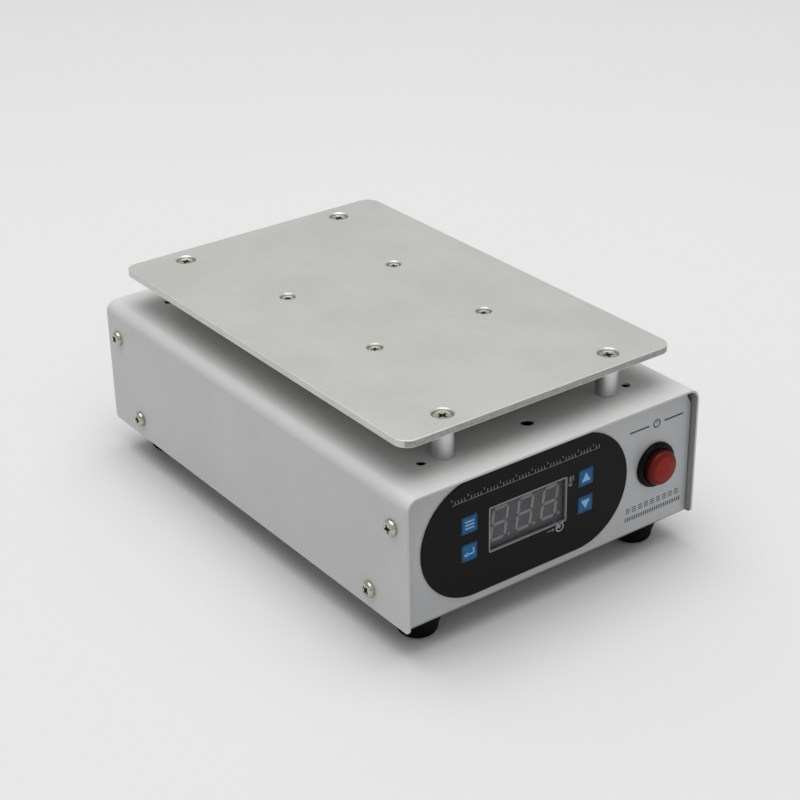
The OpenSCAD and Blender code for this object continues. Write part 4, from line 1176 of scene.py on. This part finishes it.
@dataclass
class Key:
    """One film key, pillow shaped, with its symbol.

    Attributes:
        name: Name of the key, which its CAD node ends with and its body starts with.
        x: Middle along X.
        z: Middle along Z.
        icon: Its symbol.
        size: Width and height.
        back: Back of the film along Y.
        face: Face of the film along Y.
        corner_r: Rounding of the corners.
        crown: Rounding of the edge of the face.
        band: Width of the darker band of painted shade.
        line: Line width of the symbol.
    """

    name: str
    x: float
    z: float
    icon: Icon
    size: float = 7.6
    back: float = -106.15
    face: float = -106.65
    corner_r: float = 1.0
    crown: float = 0.28
    band: float = 0.5
    line: float = 0.62

    def cap(self) -> None:
        """Models the key's film cap."""
        half = self.size / 2
        cap = Blank.block(f"film_key_{self.name}", (self.x - half, self.face, self.z - half),
                          (self.x + half, self.back, self.z + half))
        cap.edges(along(Y)).bevel(self.corner_r, segments=6)
        cap.edges(lambda a, b: max(a.y, b.y) < self.face + TOUCH).bevel(self.crown, segments=4)
        cap.faces(lambda c, n: n.y < -STRAIGHT and c.y < self.face + TOUCH).inset(self.band)
        # The band, the crown and the sides get painted shade.
        cap.paint(KEY_FILM, {KEY_BAND_SHADE: lambda c, n: (
            n.y > -STRAIGHT or max(abs(c.x - self.x), abs(c.z - self.z)) > 1)})
        cap.install(f"{self.name}_key", KEY_FILM, "key_film", [f"key_{self.name}"])

    def symbol(self) -> None:
        """Prints the key's symbol."""
        ink = Print(ICON_INK, self.face)
        x, z = self.x, self.z
        if self.icon is Icon.MENU:
            for dz in (-1.4, 0.0, 1.4):
                ink.bar(x - 2.1, z + dz, x + 2.1, z + dz, self.line)
        elif self.icon is Icon.RETURN:
            ink.bar(x - 1.4, z - 0.7, x + 2.1, z - 0.7, self.line)
            ink.bar(x + 1.85, z - 0.7, x + 1.85, z + 1.7, self.line)
            ink.disc(x - 1.5, z - 0.7, 1.25, 3, -90)
        else:
            drop, turn = (0.55, 0) if self.icon is Icon.UP else (-0.55, 180)
            ink.disc(x, z - drop, 2.5, 3, turn)
        ink.press(f"symbol_{self.name}", f"{self.name}_key", "key_film")


@dataclass
class ControlPanel(SubAssembly):
    """The printed front panel: silver film, black keypad, display, lamp and keys.

    Attributes:
        film_face: Face of the silver film along Y.
        pad_face: Face of the black keypad along Y.
        pad: Middle of the keypad, X and Z.
        pad_size: Width and height of the keypad.
        edge: Rounding of the keypad's edges.
        window: Middle of the display window, X and Z.
        window_size: Width and height of the window.
        window_play: Gap round the window.
        window_line: Width of the line printed round the window.
        lamp: Middle of the output lamp, X and Z.
        lamp_r: Radius of the lamp.
        lamp_play: Gap round the lamp.
        lamp_ring: Distances of the printed ring's edges from the lamp.
        key_rows: Heights of the upper and the lower keys.
        key_columns: Places of the left and the right keys along X.
        pocket: Side and corner rounding of a key's opening.
        thermometer: Middle of the thermometer's bulb, X and Z.
        scale: First and last tick of the scale along X, its height and the ticks' step.
        sign: Middle of the power sign, X and Z.
        gauge_x: Left end of the marks below the button.
    """

    film_face: float = -105.8
    pad_face: float = -106.4
    pad: Pair = (-13.6, 41.9)
    pad_size: Pair = (99.4, 49.6)
    edge: float = 0.1
    window: Pair = (-13.4, 41.9)
    window_size: Pair = (37.6, 19.2)
    window_play: float = 0.05
    window_line: float = 0.37
    lamp: Pair = (2.2, 30.65)
    lamp_r: float = 1.35
    lamp_play: float = 0.1
    lamp_ring: Pair = (0.12, 0.62)
    key_rows: Pair = (48.2, 36.4)
    key_columns: Pair = (-41.5, 14.7)
    pocket: Pair = (8.0, 1.2)
    thermometer: Pair = (7.0, 47.6)
    scale: tuple[float, float, float, float] = (-49.5, 21.0, 58.6, 1.5)
    sign: Pair = (51.4, 58.6)
    gauge_x: float = 36.9

    dressed = {
        SILVER_FILM: ("front_label",),
        CLEAR_PANE: ("display_window",),
        MODULE_FACE: ("display_module",),
        LIGHT_GUIDE: ("display_segments",),
        LAMP_LENS: ("output_led",),
        MOULDED_ABS: ("plunger_set", "plunger_enter", "plunger_up", "plunger_down",
                      "tact_switches"),
    }

    def _opening(self, x: float, z: float, width: float, height: float) -> Blank:
        """Models the cutter of a rectangular opening in the keypad.

        Args:
            x: Middle along X.
            z: Middle along Z.
            width: Width of the opening.
            height: Height of the opening.

        Returns:
            The cutter.
        """
        return Blank.block("opening", (x - width / 2, self.pad_face - PAST, z - height / 2),
                           (x + width / 2, self.film_face + PAST, z + height / 2))

    def keypad(self) -> None:
        """Models the black film with its round ends and openings."""
        (x, z), (w, h) = self.pad, self.pad_size
        pad = Blank.block("printed_keypad", (x - w / 2, self.pad_face, z - h / 2),
                          (x + w / 2, self.film_face, z + h / 2))
        pad.edges(along(Y)).bevel(h / 2 - TOUCH, segments=32)
        side, corner_r = self.pocket
        pockets = [self._opening(x, z, side, side).edges(along(Y)).bevel(corner_r, segments=6)
                   for x in self.key_columns for z in self.key_rows]
        pane = self._opening(*self.window, *[s + 2 * self.window_play for s in self.window_size])
        lamp = Blank.rod("opening", (self.lamp[0], self.film_face + PAST, self.lamp[1]),
                         self.lamp_r + self.lamp_play, 3 * PAST, 40, (90, 0, 0))
        pad.cut(pane.joined(*pockets, lamp)).ease(self.edge)
        pad.install("case", BLACK_FILM, "black_film", ["keypad_membrane"])

    def keys(self) -> None:
        """Models the four keys with their symbols."""
        left, right = self.key_columns
        upper, lower = self.key_rows
        for key in (Key("set", left, upper, Icon.MENU), Key("enter", left, lower, Icon.RETURN),
                    Key("up", right, upper, Icon.UP), Key("down", right, lower, Icon.DOWN)):
            key.cap()
            key.symbol()

    def pane_marks(self) -> None:
        """Prints the line round the window, the lamp's ring and the small marks beside them."""
        ink = Print(PALE_INK, self.pad_face)
        (x, z), (w, h), line = self.window, self.window_size, self.window_line
        for s in (-1, 1):
            rail, post = z + s * (h - line) / 2, x + s * (w - line) / 2
            ink.bar(x - w / 2, rail, x + w / 2, rail, line)
            ink.bar(post, z - h / 2, post, z + h / 2, line)
        ink.ring(*self.lamp, *[self.lamp_r + reach for reach in self.lamp_ring])
        ink.press("pane_line_and_lamp_ring", "case", "segment_print")
        ink = Print(GREY_INK, self.pad_face)
        x, z = self.thermometer
        ink.disc(x, z, 0.9)
        ink.bar(x, z, x, z + 3.4, 0.8)
        for dz in (1.4, 2.2, 3.0):
            ink.bar(x + 0.8, z + dz, x + 1.8, z + dz, 0.4)
        x, z = self.lamp
        ink.bar(x - 6.2, z, x - 3.6, z, 0.4)
        ink.disc(x - 3.2, z, 0.8, 3, 90)
        ink.press("thermometer_and_arrow", "case", "segment_print")

    def tick_scale(self) -> None:
        """Prints a plain tick scale along the keypad's upper edge, each fifth tick longer."""
        first, last, base, step = self.scale
        ink = Print(GREY_INK, self.pad_face)
        ink.bar(first, base, last, base, 0.25)
        count = round((last - first) / step) + 1
        for every, height in ((1, 1.5), (5, 2.6)):
            tick = ink.bar(first, base, first, base + height, 0.34, soft=False)
            ink.row(tick, step, count, every)
        ink.press("tick_scale", "case", "segment_print")

    def film_marks(self) -> None:
        """Prints the power sign above the button and two rows of plain marks below it."""
        ink = Print(DARK_INK, self.film_face)
        x, z = self.sign
        ring = ink.ring(x, z, 1.3, 1.9)
        ring.cut(Blank.block("gap", (x - 0.6, self.film_face - PAST, z),
                             (x + 0.6, self.film_face + PAST, z + 3)))
        ink.bar(x, z + 0.2, x, z + 2.2, 0.55)
        for s in (-1, 1):
            ink.bar(x + s * 4, z, x + s * 14, z, 0.75)
        x = self.gauge_x
        ink.row(ink.bar(x + 0.1, 19.3, x + 0.1, 21.1, 0.62, soft=False), 1.2, 25)
        ink.press("power_sign_and_scale", "case", "silver_film")
        ink = Print(MID_INK, self.film_face)
        for z in (23.1, 24.0, 24.9):
            ink.row(ink.bar(x, z, x + 2.2, z, 0.52), 3.25, 9)
        ink.press("striped_squares", "case", "silver_film")

    def model(self) -> None:
        """Models the keypad and the keys and prints the marks."""
        self.keypad()
        self.keys()
        self.pane_marks()
        self.tick_scale()
        self.film_marks()


@dataclass
class PushButton(SubAssembly):
    """The red push button in its black ring, with its spring, nut and contact block.

    Attributes:
        x: Middle along X.
        z: Middle along Z.
        cap_r: Radius of the cap.
        tip: Front of the cap along Y.
        base: Rear of the cap's head along Y.
        stem_end: Rear of its stem along Y.
        stem_r: Radius of the stem.
        shoulder: Rounding between the cap's face and its side.
        crown: Width and rise of each ring of the cap's bulging face, from its edge inwards.
        flank: A face whose normal's share to the front is below this is part of the flank, which
            gets painted shade.
        spring_end: Rear end of the return spring along Y.
        spring_r: Mean radius of the spring.
        spring_wire_r: Radius of its wire.
        spring_turns: Number of its turns.
        travel: Travel of the button.
        slack: Gap between the stem and the spring.
    """

    x: float = 51.4
    z: float = 40.6
    cap_r: float = 7.25
    tip: float = -111.8
    base: float = -104.0
    stem_end: float = -93.5
    stem_r: float = 4.0
    shoulder: float = 2.0
    crown: tuple[Pair, ...] = ((1.3, 0.17), (1.3, 0.12), (1.3, 0.08))
    flank: float = 0.15
    spring_end: float = -85.55
    spring_r: float = 2.9
    spring_wire_r: float = 0.3
    spring_turns: int = 6
    travel: float = 3.0
    slack: float = 0.05

    dressed = {
        POLISHED_NYLON: ("switch_housing",),
        MOULDED_ABS: ("switch_base",),
        NICKEL_PLATE: ("switch_nut",),
    }

    def cap(self) -> None:
        """Models the cap with its round shoulder, its crowned face and its stem."""
        rim = self.tip + sum(rise for _, rise in self.crown)
        cap = Blank.rod("button_cap", (self.x, self.base, self.z), self.cap_r, self.base - rim,
                        64, (90, 0, 0))
        cap.edges(lambda a, b: max(a.y, b.y) < rim + TOUCH).bevel(self.shoulder, segments=9)
        cap.faces(lambda c, n: n.y < -STRAIGHT and c.y < rim + TOUCH)
        for width, rise in self.crown:
            cap.inset(width).move((0, -rise, 0))
        cap.faces(facing(BACK)).inset(self.cap_r - self.stem_r)
        cap.extrude((0, self.stem_end - self.base, 0))
        face_r = self.cap_r - self.shoulder
        # The shoulder and the flank get painted shade, darker towards the side.
        cap.paint(RED_CAP, {
            RED_SHOULDER_SHADE: lambda c, n: math.hypot(c.x - self.x, c.z - self.z) > face_r,
            RED_FLANK_SHADE: lambda c, n: n.y > -self.flank})
        cap.install("power_button", RED_CAP, "red_plastic", ["power_button"], smooth=40)

    def spring(self) -> None:
        """Winds the return spring at its rest length and fixes it to the case, so it doesn't
        shorten as the button is pressed.
        """
        length = self.spring_end - self.stem_end - self.slack
        spring = Blank.coil("return_spring", self.spring_r, self.spring_wire_r, length,
                            self.spring_turns)
        spring.set_down((self.x, self.spring_end, self.z), (90, 0, 0))
        piece = spring.install("case", SPRING_STEEL, "spring_steel", ["button_spring"])
        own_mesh(piece)

    def model(self) -> None:
        """Models the cap and its spring."""
        self.cap()
        self.spring()


@dataclass
class HotPlate(SubAssembly):
    """The heating plate, its countersunk screws and its standoffs.

    Attributes:
        width: Width of the plate.
        length: Length of the plate.
        centre: Middle of the plate, X and Y.
        low: Height of its underside above the floor.
        high: Height of its face above the floor.
        corner_r: Rounding of its corners.
        rim: Chamfer of its edges.
        sink: How far the screw heads lie below the face.
        slack: Gap round a screw head.
        bore_play: Gap round a screw's shank.
        lip: Depth of the upper part of a countersink, which gets the painted highlight; below it
            lies painted shade.
        standoffs: Distances between the standoffs, along X and Y.
        clamps: Distances between the clamp screws, along X and Y.
        clamp_z: Height of the clamp's underside.
        nut_h: Height of a clamp screw's nut.
        plate_screw: One screw over a standoff.
        plate_turns: How far the four screws over the standoffs are turned.
        clamp_screw: One clamp screw.
        clamp_turns: How far the four clamp screws are turned.
    """

    width: float = 130.0
    length: float = 200.0
    centre: Pair = (0.0, 1.0)
    low: float = 83.0
    high: float = 86.0
    corner_r: float = 6.0
    rim: float = 0.35
    sink: float = 0.9
    slack: float = 0.05
    bore_play: float = 0.2
    lip: float = 0.48
    standoffs: Pair = (80.0, 180.0)
    clamps: Pair = (54.0, 61.0)
    clamp_z: float = 77.4
    nut_h: float = 2.4
    plate_screw: CrossScrew = field(
        default_factory=lambda: CrossScrew(Head.COUNTERSUNK, 2.0, 3.65, 1.8, 8.1))
    plate_turns: tuple[float, ...] = (12, 38, 65, 27)
    clamp_screw: CrossScrew = field(
        default_factory=lambda: CrossScrew(Head.COUNTERSUNK, 1.5, 2.7, 1.4, 11.7))
    clamp_turns: tuple[float, ...] = (50, 8, 31, 70)

    dressed = {
        TURNED_ALUMINIUM: ("standoffs",),
        NICKEL_PLATE: ("standoff_screws",),
    }

    def plate(self) -> None:
        """Models the plate with its countersinks; its cuts get their own finishes, with painted
        light and shade.
        """
        x, y = self.centre
        half_w, half_l = self.width / 2, self.length / 2
        plate = Blank.block("hot_plate", (x - half_w, y - half_l, self.low),
                            (x + half_w, y + half_l, self.high))
        plate.edges(along(Z)).bevel(self.corner_r, segments=12)
        plate.edges(across(Z)).bevel(self.rim, segments=2)
        sinks = [self._countersink(screw, *spot)
                 for screw, spread in ((self.plate_screw, self.standoffs),
                                       (self.clamp_screw, self.clamps))
                 for spot in corners(self.centre, *spread)]
        plate.cut(sinks[0].joined(*sinks[1:]))
        # A normal's share of Z tells upright faces from sloped ones, and its share of X the sides.
        upright, sloped, sideways, near = 0.2, 0.95, 0.7, 2.0
        # The long sides get painted light, the ends painted shade, chamfers and upper countersinks
        # a painted highlight, lower countersinks painted shade.
        plate.paint(BRUSHED_PLATE, {
            RIM_END_SHADED: lambda c, n: abs(n.z) < sloped,
            ROLLED_EDGE_LIT: lambda c, n: abs(n.x) > sideways and abs(c.x - x) > half_w - near,
            CHAMFER_HIGHLIGHT: lambda c, n: upright < abs(n.z) < sloped,
            SINK_PAINTED_SHADE: lambda c, n: upright < n.z < sloped and c.z < self.high - self.lip})
        plate.install("case", BRUSHED_PLATE, "plate_aluminium", ["heating_plate"])

    def _countersink(self, screw: CrossScrew, x: float, y: float) -> Blank:
        """Models the cutter of one countersunk hole.

        Args:
            screw: Screw that sits in the hole.
            x: Middle along X.
            y: Middle along Y.

        Returns:
            The cutter.
        """
        deep = screw.head_h + self.sink
        slope = (screw.head_r + self.slack - screw.shank_r) / screw.head_h
        bore = screw.shank_r + self.bore_play
        mouth = screw.shank_r + self.slack + deep * slope
        throat = mouth - self.lip * slope
        sink = Blank.rod("countersink", (x, y, self.low - PAST), bore,
                         self.high - deep - self.low + PAST, 48).faces(facing(UP))
        for rise, widen in ((deep - self.lip, throat / bore), (self.lip, mouth / throat)):
            sink.extrude((0, 0, rise)).resize((widen, widen, 1), (x, y, self.high))
        return sink.extrude((0, 0, PAST))

    def screws(self) -> None:
        """Models the four large and four small screws, the small ones with their nuts."""
        height = self.high - self.sink
        for name, node, screw, spread, turns in (
                ("plate_corner_screws", "plate_screws", self.plate_screw, self.standoffs,
                 self.plate_turns),
                ("plate_clamp_screws", "clamp_fasteners", self.clamp_screw, self.clamps,
                 self.clamp_turns)):
            spots = corners(self.centre, *spread)
            screws = screw.model(name).copied([at((*spot, height), (turn, "Z"))
                                               for spot, turn in zip(spots, turns)])
            if screw is self.clamp_screw:
                nuts = hex_nut("clamp_nuts", screw.shank_r, self.nut_h)
                screws.joined(nuts.copied([at((*spot, self.clamp_z - self.nut_h))
                                           for spot in spots]))
            screws.install("case", NICKEL_PLATE, "nickel_plate", [node])

    def model(self) -> None:
        """Models the plate and its screws."""
        self.plate()
        self.screws()


@dataclass
class HeaterPack(SubAssembly):
    """The heater under the plate with its mat, clamp, probe and leads."""

    dressed = {
        MICA_SHEET: ("heater_element",),
        FIBRE_MAT: ("insulating_mat",),
        ZINC_SHEET: ("heater_clamp",),
        NICKEL_PLATE: ("temperature_probe",),
        BRAIDED_SLEEVE: ("heater_leads", "probe_lead"),
    }


@dataclass
class Electronics(SubAssembly):
    """The display board and the power board with what they carry."""

    dressed = {
        BOARD_LAMINATE: ("display_board", "power_board"),
        NICKEL_PLATE: ("board_standoffs", "board_screws"),
        MOULDED_ABS: ("display_board_parts", "triac"),
        LAMINATED_CORE: ("transformer_core",),
        WINDING_TAPE: ("transformer_coil",),
        ANODISED_SINK: ("heat_sink",),
        CAPACITOR_SLEEVE: ("capacitors",),
        TERMINAL_GREEN: ("terminal_block",),
    }


@dataclass
class PowerInlet(SubAssembly):
    """The mains inlet in the back panel with its fuse drawer."""

    dressed = {
        MOULDED_ABS: ("inlet_housing", "fuse_drawer"),
        CONTACT_BRASS: ("inlet_pins",),
        NICKEL_PLATE: ("inlet_fasteners",),
        FUSE_GLASS: ("fuses",),
    }


@dataclass
class Wiring(SubAssembly):
    """The leads inside the case, in the colours of mains wiring."""

    dressed = {
        BROWN_PVC: ("live_lead", "switched_lead"),
        BLUE_PVC: ("neutral_lead",),
        EARTH_PVC: ("earth_lead",),
        RIBBON_CABLE: ("ribbon_cable",),
    }


@dataclass
class Studio:
    """Floor, light and camera of the picture.

    Attributes:
        camera: Place of the camera.
        azimuth: Heading of the view in degrees, from +Y towards +X.
        tilt: How far the view looks down, in degrees.
        roll: Turn of the camera about its view, in degrees.
        lens: Focal length.
        sensor: Width of the camera's sensor.
        clip: Nearest and farthest distance that the camera sees, in metres.
        floor_size: Side of the floor.
        room: Colour and strength of the room's own light.
        horizon: Share of that light at the horizon, so that the far floor and the room meet.
        haze: Sine of the height at which the room has its full light.
        softbox: Place and aim of the overhead light.
        softbox_side: Side of the overhead light.
        softbox_power: Power of the overhead light in watts.
    """

    camera: tuple[float, float, float] = (-398.77, -555.08, 396.31)
    azimuth: float = 36.106
    tilt: float = 27.393
    roll: float = -1.032
    lens: float = 83.18
    sensor: float = 36.0
    clip: Pair = (0.05, 50.0)
    floor_size: float = 40000.0
    room: tuple[str, float] = ("#F5F5F5", 0.62)
    horizon: float = 0.63
    haze: float = 0.25
    softbox: tuple[Place, Place] = ((-60, 60, 2000), (0, 0, 60))
    softbox_side: float = 2000.0
    softbox_power: float = 40.0

    def set_camera(self) -> None:
        """Places the camera as the picture was taken."""
        pick(None)
        bpy.ops.object.camera_add(location=mm(*self.camera))
        camera = bpy.context.object
        az, el, roll = (math.radians(a) for a in (self.azimuth, self.tilt, self.roll))
        ahead = Vector((math.sin(az) * math.cos(el), math.cos(az) * math.cos(el), -math.sin(el)))
        right = Vector((math.cos(az), -math.sin(az), 0))
        up = Vector((math.sin(az) * math.sin(el), math.cos(az) * math.sin(el), math.cos(el)))
        side = math.cos(roll) * right + math.sin(roll) * up
        rise = math.cos(roll) * up - math.sin(roll) * right
        camera.rotation_mode = "QUATERNION"
        camera.rotation_quaternion = Matrix((side, rise, -ahead)).transposed().to_quaternion()
        camera.data.lens = self.lens
        camera.data.sensor_width = self.sensor
        camera.data.clip_start, camera.data.clip_end = self.clip
        bpy.context.scene.camera = camera

    def lay_floor(self) -> None:
        """Lays the pale floor."""
        pick(None)
        bpy.ops.mesh.primitive_plane_add(size=self.floor_size * MM)
        floor = bpy.context.object
        floor.name = floor.data.name = "studio_floor"
        floor.data.materials.append(STUDIO_FLOOR.material())

    def light_room(self) -> None:
        """Gives the room its own light, which fades towards the horizon."""
        world = bpy.data.worlds.new("studio_room")
        bpy.context.scene.world = world
        world.use_nodes = True
        tree = world.node_tree
        colour, strength = self.room
        direction = add_node(tree, "ShaderNodeTexCoord").outputs["Generated"]
        rise = add_node(tree, "ShaderNodeSeparateXYZ", {}, {"Vector": direction})
        glow = add_node(tree, "ShaderNodeMapRange",
                        {"From Max": self.haze, "To Min": self.horizon * strength,
                         "To Max": strength, "interpolation_type": "SMOOTHSTEP"},
                        {"Value": rise.outputs["Z"]})
        background = tree.nodes["Background"]
        background.inputs["Color"].default_value = linear(colour)
        tree.links.new(glow.outputs["Result"], background.inputs["Strength"])

    def hang_softbox(self) -> None:
        """Hangs the large soft light above the part."""
        pick(None)
        place, aim = (mm(*point) for point in self.softbox)
        bpy.ops.object.light_add(type="AREA", location=place)
        lamp = bpy.context.object
        lamp.name = "overhead_softbox"
        lamp.data.size = self.softbox_side * MM
        lamp.data.energy = self.softbox_power
        lamp.rotation_euler = (aim - place).to_track_quat("-Z", "Y").to_euler()

    def build(self) -> None:
        """Sets the studio up."""
        self.set_camera()
        self.lay_floor()
        self.light_room()
        self.hang_softbox()
        bpy.context.scene.view_settings.view_transform = "Standard"


def main() -> None:
    """Builds the sub-assemblies in order."""
    logging.basicConfig(level=logging.INFO, format="%(name)s: %(message)s")
    for part in (Studio(), ChassisTray(), CaseCover(), ControlPanel(), PushButton(), HotPlate(),
                 HeaterPack(), Electronics(), PowerInlet(), Wiring()):
        part.build()
        LOG.info("built: %s", type(part).__name__)
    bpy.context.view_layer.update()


if __name__ == "__main__":
    main()
